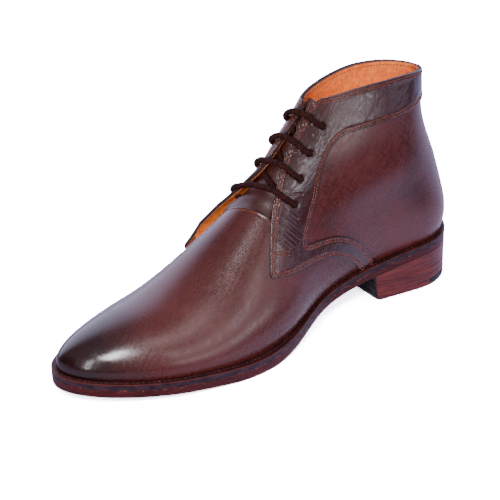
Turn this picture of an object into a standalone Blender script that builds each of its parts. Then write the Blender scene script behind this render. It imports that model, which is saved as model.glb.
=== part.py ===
"""A left chukka boot on its sole: a hollow leather upper, tongue, lace bars, insole, welt, outsole and
stacked leather heel.

Sizes are in millimetres and become metres where a mesh is made. In the shape functions x runs from the
heel's back towards the toe, y to the boot's left (its outer side) and z up from the floor. The model's
origin is the middle of the heel on the floor, HEEL_MIDDLE in front of the heel's back.
"""

import bpy
import bmesh
import numpy as np

MM = 0.001

# Driving dimensions
LAST_LENGTH = 296.0      # feather line, heel to toe
HEEL_MIDDLE = 34.0       # the origin's x
WALL = 2.4               # outer leather and lining together
SEAM_GAP = 0.35          # between neighbouring pieces
WELT_THICKNESS = 3.0
WELT_UNDER_WALL = 1.9    # how far the welt reaches in under the upper
INSOLE_STEP = 2.4        # the footbed's height above the feather line
INSOLE_BEVEL = 0.7       # it is this much smaller all round at the top
BREAST_X = 73.2          # the heel's front face
HEEL_FLARE = 0.6         # the heel is this much larger all round at the floor
BREAST_LEAN = 3.0        # and its front face this much further back there
BREAST_CORNER = 3.0
TOP_PIECE = 5.0          # the heel's lowest layer
HEEL_TOP = 26.0
LIFT_TOPS = (9.7, 14.4)  # flat joints in the heel stack
RUBBER_TIP_X = 16.0      # the rubber runs from here to the back
HEEL_ROUND = 36.0        # how far the heel's round back reaches forward, at the feather line
SHAFT_ROUND = 48.0       # and at the ankle
TOE_ROUND = 63.0
TOE_POWER = 1.9
THROAT_X = 163.0         # where the vamp ends and the tongue comes out
COLLAR_BACK = (18.4, 150.0)
COLLAR_FRONT = (112.4, 148.3)
COLLAR_RISE = 5.6        # the collar's middle stands this much above a straight line
COLLAR_BLEND = 1.5
ANKLE_HEIGHT = 70.0      # the sides pass from the last's width to the shaft's over this height
ANKLE_REACH = (90.0, 150.0)
HEEL_TURN = (40.0, 60.0)  # the heel's rounding passes to the shaft's from this height, over this height
GAP_START = 12.0         # this far in front of the collar the lacing gap has its own edge
SECTION_REACH = 60.0     # how far down the sides a section square to the ridge is followed
SECTION_STEPS = 160
BULGE_HEIGHT = 60.0      # the sides swell out up to this height above the feather line
BELLY_PEAK = 1.3
TONGUE_THICKNESS = 2.0
TONGUE_ROOT_DEPTH = WALL + SEAM_GAP
TONGUE_THROAT_DEPTH = 4.4
LACE_DIAMETER = 3.0
LACE_LIFT = 2.7          # the bar's middle above the facing
LACE_ENTRY = 1.3         # the bar's ends stop this far down in the eyelets
LACE_TURN = 0.3          # the bar starts to bend this far above the eyelet
LACE_SPAN = (0.026, 0.974)  # the part of the way between two eyelets that the bar rests on
LACE_SAMPLES = 60
EYELET_DIAMETER = 4.4
TONGUE_DROP = 16.0       # the tongue sinks to its full depth over this length
TONGUE_ROWS, TONGUE_COLUMNS = 13, 13
OUTLINE_SAMPLES = 160
THROAT_SAMPLES, THROAT_REACH = 120, 30.0

# Cross sections along the last: widths to either side and feather height, then the sole under it.
LAST = dict(
    columns=("x", "outer", "inner", "feather", "sole", "welt", "bulge", "dome", "lean"),
    rows=(
        (0.0, 34.5, 33.5, 35.4, 8.8, 2.6, 1.9, 2.00, 0.0),
        (30.0, 32.0, 31.6, 34.7, 8.6, 3.4, 2.1, 1.95, -0.3),
        (60.0, 27.4, 29.4, 31.0, 9.3, 3.8, 2.4, 1.90, -0.6),
        (90.0, 24.0, 26.0, 24.7, 9.5, 2.9, 3.5, 1.85, -0.8),
        (120.0, 27.5, 24.5, 18.3, 9.6, 2.6, 4.3, 1.80, -1.8),
        (150.0, 40.5, 29.5, 13.6, 10.6, 3.6, 4.4, 1.70, -4.2),
        (180.0, 47.0, 37.5, 11.2, 11.6, 5.2, 3.5, 1.60, -6.5),
        (210.0, 45.5, 41.5, 11.9, 10.7, 4.8, 2.4, 1.60, -4.5),
        (240.0, 40.0, 39.5, 14.0, 10.1, 4.2, 1.0, 1.70, 0.0),
        (270.0, 32.4, 34.8, 15.9, 10.1, 3.8, 0.5, 1.90, 0.0),
        (LAST_LENGTH, 26.0, 34.6, 17.8, 10.6, 3.2, 0.6, 2.10, 0.0),
    ),
)
# The upper's top line in side view, from the toe to above the collar's front.
RIDGE = dict(
    columns=("x", "z"),
    rows=(
        (LAST_LENGTH, 18.0), (295.4, 25.0), (288.0, 31.7), (270.0, 39.1), (250.0, 43.6), (225.0, 48.4),
        (200.0, 60.3), (175.0, 79.0), (150.0, 101.5), (130.0, 125.5), (112.0, 148.3), (90.0, 185.0),
        (60.0, 255.0),
    ),
)
# The upper's back line, and the shaft's half width, at heights above the floor.
BACK = dict(
    columns=("z", "x"),
    rows=((35.4, 0.0), (50.0, -1.5), (70.0, 1.6), (90.0, 7.1), (110.0, 15.0), (125.0, 18.4),
          (140.0, 18.4), (150.0, 18.0)),
)
SHAFT = dict(
    columns=("z", "half"),
    rows=((35.0, 33.0), (60.0, 32.5), (90.0, 32.6), (115.0, 31.2), (145.0, 23.6)),
)
# The edges of the lacing gap, as fractions of the ridge's height above the feather line.
THROAT = dict(
    columns=("x", "outer", "inner"),
    rows=((104.0, 0.975, 0.998), (117.0, 0.980, 0.998), (130.0, 0.981, 0.998), (136.0, 0.973, 0.996),
          (142.0, 0.954, 0.984), (148.0, 0.918, 0.940), (153.0, 0.895, 0.895), (158.5, 0.945, 0.940),
          (THROAT_X, 1.0, 1.0)),
)
# Each pair of eyelets: where the section of each meets the ridge, and how far it lies to its side.
# The inner ones sit a little lower, because the inner facing is cut further round the foot.
EYELETS = dict(
    columns=("outer_x", "outer", "inner_x", "inner"),
    rows=((117.0, 13.5, 121.0, 7.0), (128.5, 14.5, 132.0, 9.5), (139.0, 16.0, 143.0, 13.2),
          (148.5, 19.5, 153.0, 19.5)),
)
# The tongue's rows: where each meets the ridge, and its half width there.
TONGUE = dict(
    columns=("ridge_x", "half"),
    rows=((173.0, 20.0), (160.0, 23.5), (145.0, 22.0), (130.0, 19.0), (116.0, 16.0), (110.5, 14.5)),
)

UPPER_STATIONS, UPPER_RINGS = 46, 15
SOLE_STATIONS = 40
HEEL_STATIONS = 16
LACE_SIDES, LACE_STATIONS = 8, 15
EYELET_SIDES = 10


def curve(table, key, value):
    """A smooth line (a natural cubic spline) through two columns of a table, straight beyond its ends."""
    knots, heights = (np.array([row[table["columns"].index(c)] for row in table["rows"]])
                      for c in (key, value))
    order = np.argsort(knots)
    knots, heights = knots[order], heights[order]
    steps, slopes = np.diff(knots), np.diff(heights) / np.diff(knots)
    system, change = np.eye(len(knots)), np.zeros(len(knots))
    for i in range(1, len(knots) - 1):
        system[i, i - 1:i + 2] = steps[i - 1], 2 * (steps[i - 1] + steps[i]), steps[i]
        change[i] = 6 * (slopes[i] - slopes[i - 1])
    bend = np.linalg.solve(system, change)
    first = slopes[0] - steps[0] * bend[1] / 6
    last = slopes[-1] + steps[-1] * bend[-2] / 6

    def at(x):
        inside = np.clip(x, knots[0], knots[-1])
        i = np.clip(np.searchsorted(knots, inside) - 1, 0, len(knots) - 2)
        a = (knots[i + 1] - inside) / steps[i]
        b = 1 - a
        bow = ((a**3 - a) * bend[i] + (b**3 - b) * bend[i + 1]) * steps[i] ** 2 / 6
        beyond = np.minimum(x - knots[0], 0) * first + np.maximum(x - knots[-1], 0) * last
        return a * heights[i] + b * heights[i + 1] + bow + beyond
    return at


outer_half, inner_half = curve(LAST, "x", "outer"), curve(LAST, "x", "inner")
feather, sole_depth, welt_margin = (curve(LAST, "x", c) for c in ("feather", "sole", "welt"))
bulge, dome_power, lean = (curve(LAST, "x", c) for c in ("bulge", "dome", "lean"))
back_x, shaft_half = curve(BACK, "z", "x"), curve(SHAFT, "z", "half")


def ridge_line():
    """The ridge as a fine polyline, x rising: a spline along its own length, because the toe is upright."""
    points = np.array(RIDGE["rows"])
    along = np.r_[0, np.cumsum(np.hypot(*np.diff(points, axis=0).T))]
    table = dict(columns=("s", "x", "z"), rows=np.column_stack([along, points]))
    s = np.linspace(0, along[-1], 700)
    x = np.minimum.accumulate(curve(table, "s", "x")(s))
    return x[::-1], curve(table, "s", "z")(s)[::-1]


RIDGE_X, RIDGE_Z = ridge_line()


def ridge_height(x):
    return np.interp(x, RIDGE_X, RIDGE_Z)


def smooth(t):
    t = np.clip(t, 0, 1)
    return t * t * (3 - 2 * t)


def rounding(distance, reach, power=2.1):
    """From 0 at a round end to 1 at reach away from it."""
    return np.sqrt(np.clip(1 - (1 - np.clip(distance / reach, 0, 1)) ** power, 0, 1))


def spaced(count):
    """Values from 0 to 1, closer together at both ends, where outlines turn."""
    return (1 - np.cos(np.pi * np.linspace(0, 1, count))) / 2


def half_width(x):
    return (outer_half(x) + inner_half(x)) / 2 * rounding(LAST_LENGTH - x, TOE_ROUND, TOE_POWER)


def centre(x):
    return (outer_half(x) - inner_half(x)) / 2


def surface_y(x, z, side):
    """The upper's outer surface: y at a place in side view, with side +1 for the outer, -1 for the inner."""
    on_last = np.clip(x, 0, LAST_LENGTH)
    floor, top = feather(on_last), ridge_height(x)
    rise = np.clip((z - floor) / np.maximum(top - floor, 1e-6), 0, 1)
    roof = np.sqrt(np.clip(1 - rise ** dome_power(x), 0, 1))
    reach = (ANKLE_REACH[1] - x) / (ANKLE_REACH[1] - ANKLE_REACH[0])
    ankle = smooth((z - floor) / ANKLE_HEIGHT) * smooth(reach)
    width = half_width(on_last) * (1 - ankle) + shaft_half(z) * ankle
    turn = np.pi * np.clip((z - floor) / np.clip(top - floor, 1, BULGE_HEIGHT), 0, 1)
    belly = np.sin(turn) * (1 + np.cos(turn)) / BELLY_PEAK
    width = width + bulge(x) * belly * rounding(LAST_LENGTH - x, TOE_ROUND, TOE_POWER)
    heel = HEEL_ROUND + (SHAFT_ROUND - HEEL_ROUND) * smooth((z - HEEL_TURN[0]) / HEEL_TURN[1])
    middle = centre(on_last) * (1 - ankle) + lean(x) * rise
    return middle + side * width * roof * rounding(x - back_x(z), heel)


def top_edge(x, side):
    """The height of the collar, and in front of it of the lacing gap's edge."""
    along = (x - COLLAR_BACK[0]) / (COLLAR_FRONT[0] - COLLAR_BACK[0])
    collar = COLLAR_BACK[1] + (COLLAR_FRONT[1] - COLLAR_BACK[1]) * along
    collar = collar + COLLAR_RISE * 4 * along * (1 - along)
    share = curve(THROAT, "x", "outer" if side > 0 else "inner")(np.minimum(x, THROAT_X))
    floor = feather(x)
    edge = floor + np.minimum(share, 1) * (ridge_height(x) - floor)
    lower = (collar + edge - np.hypot(collar - edge, 2 * COLLAR_BLEND)) / 2
    return np.where(x > COLLAR_FRONT[0] + GAP_START, edge, lower)


def upper_rings(stations, rings):
    """Closed rings round the upper, from the feather line up to the collar and the lacing gap. Each runs
    from the heel's back along the outer side, over the toe or ridge, and back along the inner side. Their
    heights are spread for the low toe as well as for the steep instep."""
    rise_at_throat = ridge_height(THROAT_X) - feather(THROAT_X)
    front = RIDGE_X >= THROAT_X
    front_rise = (RIDGE_Z - feather(np.clip(RIDGE_X, 0, LAST_LENGTH)))[front][::-1]
    front_x = RIDGE_X[front][::-1]
    length = np.r_[0, np.cumsum(np.hypot(np.diff(front_x), np.diff(front_rise)))]
    spread = (front_rise / front_rise[-1] + length / length[-1]) / 2
    shares = np.interp(np.linspace(0, 1, rings), spread, front_rise / rise_at_throat)
    shares[0], shares[-1] = 0, 1
    grid = np.zeros((rings, 2 * stations - 2, 3))
    for j, share in enumerate(shares):
        z_back = feather(0.0) + share * (COLLAR_BACK[1] - feather(0.0))
        x_back = back_x(z_back)
        x_front = np.interp(share * rise_at_throat, front_rise, front_x)
        x = x_back + (x_front - x_back) * spaced(stations)
        halves = []
        for side in (1, -1):
            edge_rise = top_edge(x, side) - feather(x)
            z = feather(x) + share * np.where(x < THROAT_X, edge_rise, rise_at_throat)
            halves.append(np.column_stack([x, surface_y(x, z, side), z]))
        outer, inner = halves
        outer[-1] = inner[-1] = (outer[-1] + inner[-1]) / 2
        outer[0] = inner[0] = (outer[0] + inner[0]) / 2
        grid[j] = np.vstack([outer, inner[-2:0:-1]])
    return grid


def normals_of(grid):
    """Outward directions at the points of closed rings. The rim, which turns corners, takes those below."""
    along = np.roll(grid, -1, axis=1) - np.roll(grid, 1, axis=1)
    across = np.cross(np.gradient(grid, axis=0), along)
    across[-1] = across[-2]
    return across / np.maximum(np.linalg.norm(across, axis=2, keepdims=True), 1e-9)


def section(ridge_x, distance, depth=0.0):
    """A point on the upper's surface, in the section square to the ridge, this far to the outer side of it
    (or to the inner side, below 0), and this deep under the surface."""
    ridge_z = ridge_height(ridge_x)
    run = ridge_height(ridge_x + 1) - ridge_height(ridge_x - 1)
    down = np.array([run, -2.0]) / np.hypot(run, 2.0)
    side = 1 if distance >= 0 else -1
    steps = np.linspace(0, 1, SECTION_STEPS) ** 2 * SECTION_REACH
    x, z = ridge_x + down[0] * steps, ridge_z + down[1] * steps
    y = surface_y(x, z, side)
    ridge_y = surface_y(ridge_x, ridge_z, 1)
    off = np.maximum.accumulate(side * (y - ridge_y))
    line = np.column_stack([x, y, z])
    point = np.array([np.interp(abs(distance), off, line[:, k]) for k in range(3)])
    if depth:
        point = point - depth * section_normal(ridge_x, distance)
    return point


def section_normal(ridge_x, distance, step=0.6):
    across = section(ridge_x, distance + step) - section(ridge_x, distance - step)
    along = section(ridge_x - step, distance) - section(ridge_x + step, distance)
    out = np.cross(across, along)
    return out / np.linalg.norm(out)


def outline(margin, stations, start=0.0):
    """Two open lines from the heel's back to the toe, outside the feather line by margin(x)."""
    x = start + (LAST_LENGTH - start) * spaced(stations)
    sides = []
    for side in (1, -1):
        line = np.column_stack([x, centre(x) + side * half_width(x) * rounding(x, HEEL_ROUND)])
        ahead = np.gradient(line, axis=0)
        ahead /= np.linalg.norm(ahead, axis=1, keepdims=True)
        out = side * np.column_stack([-ahead[:, 1], ahead[:, 0]])
        out[0], out[-1] = (-1, 0), (1, 0)
        sides.append(line + out * margin(x)[:, None])
    return sides


def closed_loop(sides):
    """One closed outline, seen from above anticlockwise, from two lines that share both ends."""
    outer, inner = sides
    return np.vstack([inner, outer[-2:0:-1]])


def leather(name, colour, roughness):
    material = bpy.data.materials.new(name)
    material.use_nodes = True
    shader = material.node_tree.nodes["Principled BSDF"]
    shader.inputs["Base Color"].default_value = (*colour, 1.0)
    shader.inputs["Roughness"].default_value = roughness
    shader.inputs["Metallic"].default_value = 0.0
    return material


def add_object(name, points, faces, material):
    """A named object from points in millimetres, with its faces turned outwards."""
    mesh = bpy.data.meshes.new(name)
    placed = (np.asarray(points) - (HEEL_MIDDLE, 0, 0)) * MM
    mesh.from_pydata([tuple(p) for p in placed], [], [tuple(int(i) for i in f) for f in faces])
    shape = bmesh.new()
    shape.from_mesh(mesh)
    bmesh.ops.recalc_face_normals(shape, faces=shape.faces)
    bmesh.ops.triangulate(shape, faces=shape.faces)
    shape.to_mesh(mesh)
    shape.free()
    if material:
        mesh.materials.append(material)
        mesh.shade_smooth()
        mesh.set_sharp_from_angle(angle=np.radians(35))
    made = bpy.data.objects.new(name, mesh)
    bpy.context.scene.collection.objects.link(made)
    return made


def ring_faces(count, lower, upper):
    """Quads between two closed loops that start at these indices."""
    after = [(i + 1) % count for i in range(count)]
    return [(lower + i, lower + after[i], upper + after[i], upper + i) for i in range(count)]


def slab(name, low, high, material):
    """A plate between two outlines of two sides each: its faces run from side to side, so it may curve."""
    count = len(low[0])
    points = np.vstack([low[0], low[1], high[0], high[1]])
    faces = []
    for i in range(count - 1):
        for base in (0, 2 * count):
            faces.append((base + i, base + i + 1, base + count + i + 1, base + count + i))
        for start in (0, count):
            faces.append((start + i, start + i + 1, 2 * count + start + i + 1, 2 * count + start + i))
    for end in (0, count - 1):
        faces.append((end, count + end, 3 * count + end, 2 * count + end))
    made = add_object(name, points, faces, material)
    merge_close(made)
    return made


def merge_close(made):
    """Joins the points that the two sides share at a round end."""
    shape = bmesh.new()
    shape.from_mesh(made.data)
    bmesh.ops.remove_doubles(shape, verts=shape.verts, dist=0.02 * MM)
    bmesh.ops.dissolve_degenerate(shape, edges=shape.edges, dist=0.01 * MM)
    bmesh.ops.recalc_face_normals(shape, faces=shape.faces)
    shape.to_mesh(made.data)
    shape.free()


def at_height(sides, height):
    return [np.column_stack([line, height(np.clip(line[:, 0], 0, LAST_LENGTH))]) for line in sides]


def sole_underside(x):
    """The arch, the flat tread under the ball of the foot, and the toe spring."""
    return np.maximum(feather(x) - sole_depth(x), 0)


def make_upper(material):
    """One hollow wall: outer rings, then the same rings a wall's thickness further in."""
    outside = upper_rings(UPPER_STATIONS, UPPER_RINGS)
    inside = outside - WALL * normals_of(outside)
    inside[0, :, 2] = outside[0, :, 2]
    rings, count = outside.shape[:2]
    points = np.vstack([outside.reshape(-1, 3), inside.reshape(-1, 3)])
    shift = rings * count
    faces = []
    for j in range(rings - 1):
        for base in (0, shift):
            faces += ring_faces(count, base + j * count, base + (j + 1) * count)
    faces += ring_faces(count, 0, shift)
    faces += ring_faces(count, (rings - 1) * count, shift + (rings - 1) * count)
    upper = add_object("upper", points, faces, material)
    holes = eyelet_cutters()
    cut = upper.modifiers.new("eyelets", "BOOLEAN")
    cut.operation = "DIFFERENCE"
    cut.object = holes
    return upper


def eyelet_cutters():
    """Eight short round bars through the facings, as one hidden cutter."""
    points, faces = [], []
    for outer_x, outer, inner_x, inner in EYELETS["rows"]:
        for ridge_x, distance in ((outer_x, outer), (inner_x, -inner)):
            middle, out = section(ridge_x, distance), section_normal(ridge_x, distance)
            ends = [middle + out * reach for reach in (-WALL - 2.0, 2.0)]
            tube_points, tube_faces = tube(ends, EYELET_DIAMETER / 2, EYELET_SIDES)
            faces += [tuple(i + len(points) for i in face) for face in tube_faces]
            points += list(tube_points)
    cutter = add_object("eyelet_cutters", points, faces, None)
    cutter.hide_render = True
    cutter.display_type = "WIRE"
    return cutter


def tube(path, radius, sides):
    """A round bar along a path: rings of points, and flat ends."""
    path = np.asarray(path, float)
    ahead = np.gradient(path, axis=0)
    ahead /= np.linalg.norm(ahead, axis=1, keepdims=True)
    up = np.cross(ahead[0], (1.0, 0.0, 0.0))
    points = []
    for place, way in zip(path, ahead):
        up = up - way * (up @ way)
        up /= np.linalg.norm(up)
        side = np.cross(way, up)
        turn = np.arange(sides) * 2 * np.pi / sides
        points.append(place + radius * (np.outer(np.cos(turn), up) + np.outer(np.sin(turn), side)))
    faces = []
    for k in range(len(path) - 1):
        faces += ring_faces(sides, k * sides, (k + 1) * sides)
    faces.append(tuple(range(sides)))
    faces.append(tuple((len(path) - 1) * sides + i for i in range(sides)))
    return np.vstack(points), faces


def taut(across, heights):
    """The highest points that a tight string between the first and the last would touch."""
    kept = []
    for point in zip(across, heights):
        while len(kept) > 1:
            (x0, z0), (x1, z1) = kept[-2:]
            if (x1 - x0) * (point[1] - z0) < (z1 - z0) * (point[0] - x0):
                break
            kept.pop()
        kept.append(point)
    return np.array(kept)


def lace_path(outer_x, outer, inner_x, inner):
    """Out of one eyelet, tight over the facings and the tongue between them, and into the other."""
    shares = np.linspace(*LACE_SPAN, LACE_SAMPLES)
    places = [(inner_x + (outer_x - inner_x) * t, (outer + inner) * t - inner) for t in shares]
    edges = throat_distance(outer_x, 1), throat_distance(inner_x, -1)
    points = []
    for ridge_x, d in places:
        lift = LACE_LIFT if d > edges[0] or d < edges[1] else LACE_LIFT - TONGUE_THROAT_DEPTH
        points.append(section(ridge_x, d, -lift))
    points = np.array(points)
    length = np.linalg.norm(points[-1] - points[0])
    way = (points[-1] - points[0]) / length
    up = section_normal((outer_x + inner_x) / 2, 0.0)
    up -= way * (up @ way)
    up /= np.linalg.norm(up)
    string = taut((points - points[0]) @ way, (points - points[0]) @ up)
    run = np.linspace(0, length, LACE_STATIONS)
    along = points[0] + np.outer(run, way) + np.outer(np.interp(run, string[:, 0], string[:, 1]), up)
    ends = [[section(x, d, -lift) for lift in (LACE_TURN, -LACE_ENTRY)]
            for x, d in ((inner_x, -inner), (outer_x, outer))]
    return np.vstack([ends[0][::-1], along, ends[1]])


def throat_distance(ridge_x, side):
    """How far to the side of the ridge the lacing gap's edge lies, in the section square to the ridge."""
    distances = np.linspace(0.1, THROAT_REACH, THROAT_SAMPLES)
    points = np.array([section(ridge_x, side * d) for d in distances])
    inside = points[:, 2] < top_edge(points[:, 0], side)
    return side * distances[np.argmax(inside)]


def make_lace_bars(material):
    for number, eyelets in enumerate(EYELETS["rows"], start=1):
        points, faces = tube(lace_path(*eyelets), LACE_DIAMETER / 2, LACE_SIDES)
        add_object(f"lace_bar_{number}", points, faces, material)


def make_tongue(material):
    """A leaf under the facings, from under the vamp's end up to the collar."""
    half = curve(TONGUE, "ridge_x", "half")
    first, last = TONGUE["rows"][0][0], TONGUE["rows"][-1][0]
    faces = []
    top, under = [], []
    for ridge_x in np.linspace(first, last, TONGUE_ROWS):
        drop = smooth((first - ridge_x) / TONGUE_DROP)
        depth = TONGUE_ROOT_DEPTH + (TONGUE_THROAT_DEPTH - TONGUE_ROOT_DEPTH) * drop
        for share in np.linspace(-1, 1, TONGUE_COLUMNS):
            distance = share * half(ridge_x)
            top.append(section(ridge_x, distance, depth))
            under.append(section(ridge_x, distance, depth + TONGUE_THICKNESS))
    rows, across = TONGUE_ROWS, TONGUE_COLUMNS
    shift = rows * across
    for r in range(rows - 1):
        for c in range(across - 1):
            a = r * across + c
            quad = (a, a + 1, a + across + 1, a + across)
            faces += [quad, tuple(shift + i for i in quad)]
    rim = list(range(across)) + [r * across + across - 1 for r in range(1, rows)]
    rim += [(rows - 1) * across + c for c in range(across - 2, -1, -1)]
    rim += [r * across for r in range(rows - 2, 0, -1)]
    for a, b in zip(rim, rim[1:] + rim[:1]):
        faces.append((a, b, shift + b, shift + a))
    add_object("tongue", top + under, faces, material)


def make_welt(material):
    """A flat ring of leather round the feather line, which the upper stands on."""
    def high(x):
        return feather(x) - SEAM_GAP

    def low(x):
        return high(x) - WELT_THICKNESS
    loops = []
    for margin in (welt_margin, lambda x: np.full_like(x, -WELT_UNDER_WALL)):
        sides = outline(margin, SOLE_STATIONS)
        loops += [closed_loop(at_height(sides, low)), closed_loop(at_height(sides, high))]
    count = len(loops[0])
    faces = ring_faces(count, 0, count) + ring_faces(count, count, 3 * count)
    faces += ring_faces(count, 3 * count, 2 * count) + ring_faces(count, 2 * count, 0)
    add_object("welt", np.vstack(loops), faces, material)


def make_outsole(material):
    sides = outline(welt_margin, SOLE_STATIONS)
    high = at_height(sides, lambda x: feather(x) - WELT_THICKNESS - 2 * SEAM_GAP)
    slab("outsole", at_height(sides, sole_underside), high, material)


def make_insole(material):
    """The footbed, with the filler under it that the welt's ring surrounds."""
    low, high = (outline(lambda x: np.full_like(x, -WALL - SEAM_GAP - bevel), SOLE_STATIONS)
                 for bevel in (0.0, INSOLE_BEVEL))
    low = at_height(low, lambda x: feather(x) - WELT_THICKNESS - SEAM_GAP)
    slab("insole", low, at_height(high, lambda x: feather(x) + INSOLE_STEP), material)


def heel_plate(height, start=None, end=None):
    """The heel's two side lines at a height, as the sole's outline would have them."""
    down = 1 - height / HEEL_TOP
    fine = outline(lambda x: welt_margin(x) + HEEL_FLARE * down, OUTLINE_SAMPLES)
    breast = BREAST_X - BREAST_LEAN * down
    back = fine[0][0, 0]
    first = back if start is None else start
    last = breast if end is None else end
    x = first + (last - first) * spaced(HEEL_STATIONS)
    sides = []
    for side, line in zip((1, -1), fine):
        corner = BREAST_CORNER * (1 - rounding(breast - x, BREAST_CORNER, 2.0))
        sides.append(np.column_stack([x, np.interp(x, line[:, 0], line[:, 1]) - side * corner]))
    if start is None:
        sides[0][0, 1] = sides[1][0, 1] = (sides[0][0, 1] + sides[1][0, 1]) / 2
    return sides


def level(sides, height):
    return [np.column_stack([line, np.full(len(line), height)]) for line in sides]


def make_heel(leather_material, rubber_material):
    """Flat lifts of leather, a wedge that fits the sole's underside, and a rubber tip at the back."""
    joints = (TOP_PIECE,) + LIFT_TOPS
    for number, (low, high) in enumerate(zip(joints, LIFT_TOPS), start=1):
        low, high = low + SEAM_GAP / 2, high - SEAM_GAP / 2
        slab(f"heel_lift_{number}", level(heel_plate(low), low), level(heel_plate(high), high),
             leather_material)

    low = LIFT_TOPS[-1] + SEAM_GAP / 2
    top = [np.column_stack([line, sole_underside(np.clip(line[:, 0], 0, None)) - SEAM_GAP])
           for line in heel_plate(HEEL_TOP)]
    slab("heel_wedge", level(heel_plate(low), low), top, leather_material)

    high = TOP_PIECE - SEAM_GAP / 2
    for name, start, end, material in (
            ("heel_rubber_tip", None, RUBBER_TIP_X - SEAM_GAP / 2, rubber_material),
            ("heel_top_piece", RUBBER_TIP_X + SEAM_GAP / 2, None, leather_material)):
        slab(name, level(heel_plate(0.0, start, end), 0.0), level(heel_plate(high, start, end), high),
             material)


def main():
    for old in list(bpy.data.objects):
        bpy.data.objects.remove(old, do_unlink=True)
    brown = leather("burnished_brown_leather", (0.105, 0.040, 0.032), 0.38)
    tongue_brown = leather("tongue_leather", (0.075, 0.032, 0.030), 0.50)
    tan = leather("insole_leather", (0.50, 0.22, 0.095), 0.60)
    edge = leather("sole_edge_leather", (0.115, 0.040, 0.036), 0.42)
    dark = leather("welt_leather", (0.060, 0.024, 0.024), 0.50)
    rubber = leather("black_rubber", (0.022, 0.020, 0.022), 0.60)
    cord = leather("waxed_lace", (0.070, 0.026, 0.022), 0.55)
    make_upper(brown)
    make_tongue(tongue_brown)
    make_lace_bars(cord)
    make_insole(tan)
    make_welt(dark)
    make_outsole(edge)
    make_heel(edge, rubber)


main()
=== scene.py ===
# %% [markdown]
# # A left chukka boot
# The boot stands on its leather sole, laced, with burnished brown leather over a tan lining. The packed
# model gives every piece its place and size. Here each one gets its real surface: leather panels cut and
# sewn over each other, a round waxed lace, a stitched welt and a stacked heel. Sizes are in millimetres
# until a mesh is made, with x from the heel's back towards the toe, y to the boot's outer side and z up.

# %% Load the frame
import bmesh
import bpy
import numpy as np
from mathutils import Matrix, Vector


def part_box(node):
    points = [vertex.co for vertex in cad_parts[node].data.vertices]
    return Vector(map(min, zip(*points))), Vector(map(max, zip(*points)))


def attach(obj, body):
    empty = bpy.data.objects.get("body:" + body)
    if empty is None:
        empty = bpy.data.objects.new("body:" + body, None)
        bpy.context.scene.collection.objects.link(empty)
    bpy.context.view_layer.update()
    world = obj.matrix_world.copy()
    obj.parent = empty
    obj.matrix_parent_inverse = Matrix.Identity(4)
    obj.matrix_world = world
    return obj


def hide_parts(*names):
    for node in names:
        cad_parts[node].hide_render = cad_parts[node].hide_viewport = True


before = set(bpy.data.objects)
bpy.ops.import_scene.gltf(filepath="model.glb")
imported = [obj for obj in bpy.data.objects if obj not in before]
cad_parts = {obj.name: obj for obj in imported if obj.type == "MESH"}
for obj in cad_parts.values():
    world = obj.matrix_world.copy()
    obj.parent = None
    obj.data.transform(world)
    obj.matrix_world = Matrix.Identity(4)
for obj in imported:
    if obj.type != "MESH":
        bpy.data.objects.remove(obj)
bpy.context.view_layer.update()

MM = 0.001
heel_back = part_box("welt")[0][0] / MM
HEEL_MIDDLE = 34.0       # the frame's origin lies this far in front of the last's heel
print("the frame has", len(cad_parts), "nodes; heel back at", round(heel_back, 1), "mm")

# %% [markdown]
# ## The camera
# It looks down on the boot's outer side from in front, the toe towards the lower left. It is made first,
# so that every later choice can be judged from it. A long lens keeps the shoe's proportions natural.

# %% Camera
VIEW_TARGET = Vector((0.116, 0.0, 0.060))
VIEW_BACK = Vector((0.5048, 0.7066, 0.4959)).normalized()
VIEW_DISTANCE = 0.8501
VIEW_ROLL = np.radians(0.658)
SENSOR_WIDTH, LENS, LENS_SHIFT = 36.0, 94.85, (-0.0138, -0.0166)


def add_object(name, data):
    """A new object at the origin, in the scene."""
    made = bpy.data.objects.new(name, data)
    bpy.context.scene.collection.objects.link(made)
    return made


def make_camera():
    """Looks at VIEW_TARGET against VIEW_BACK, rolled a little."""
    right = (-VIEW_BACK).cross(Vector((0, 0, 1))).normalized()
    up = right.cross(-VIEW_BACK)
    rolled_right = right * np.cos(VIEW_ROLL) - up * np.sin(VIEW_ROLL)
    rolled_up = right * np.sin(VIEW_ROLL) + up * np.cos(VIEW_ROLL)
    turn = Matrix((rolled_right, rolled_up, VIEW_BACK)).transposed().to_4x4()
    lens = bpy.data.cameras.new("view")
    lens.sensor_width, lens.lens = SENSOR_WIDTH, LENS
    lens.shift_x, lens.shift_y = LENS_SHIFT
    camera = add_object("view", lens)
    camera.matrix_world = Matrix.Translation(VIEW_TARGET + VIEW_BACK * VIEW_DISTANCE) @ turn
    bpy.context.scene.camera = camera
    return camera


print("camera at", [round(v, 3) for v in make_camera().location])

# %% [markdown]
# ## The last
# A shoe takes its shape from a last, a solid foot form that the leather is pulled over. The form is kept
# as short tables: widths to either side, the feather line where the upper meets the sole, and how far the
# sides belly and lean. It could be a sculpted mesh, but every piece below has to ask the same form for its
# place, and a table answers that at any point.

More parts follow.
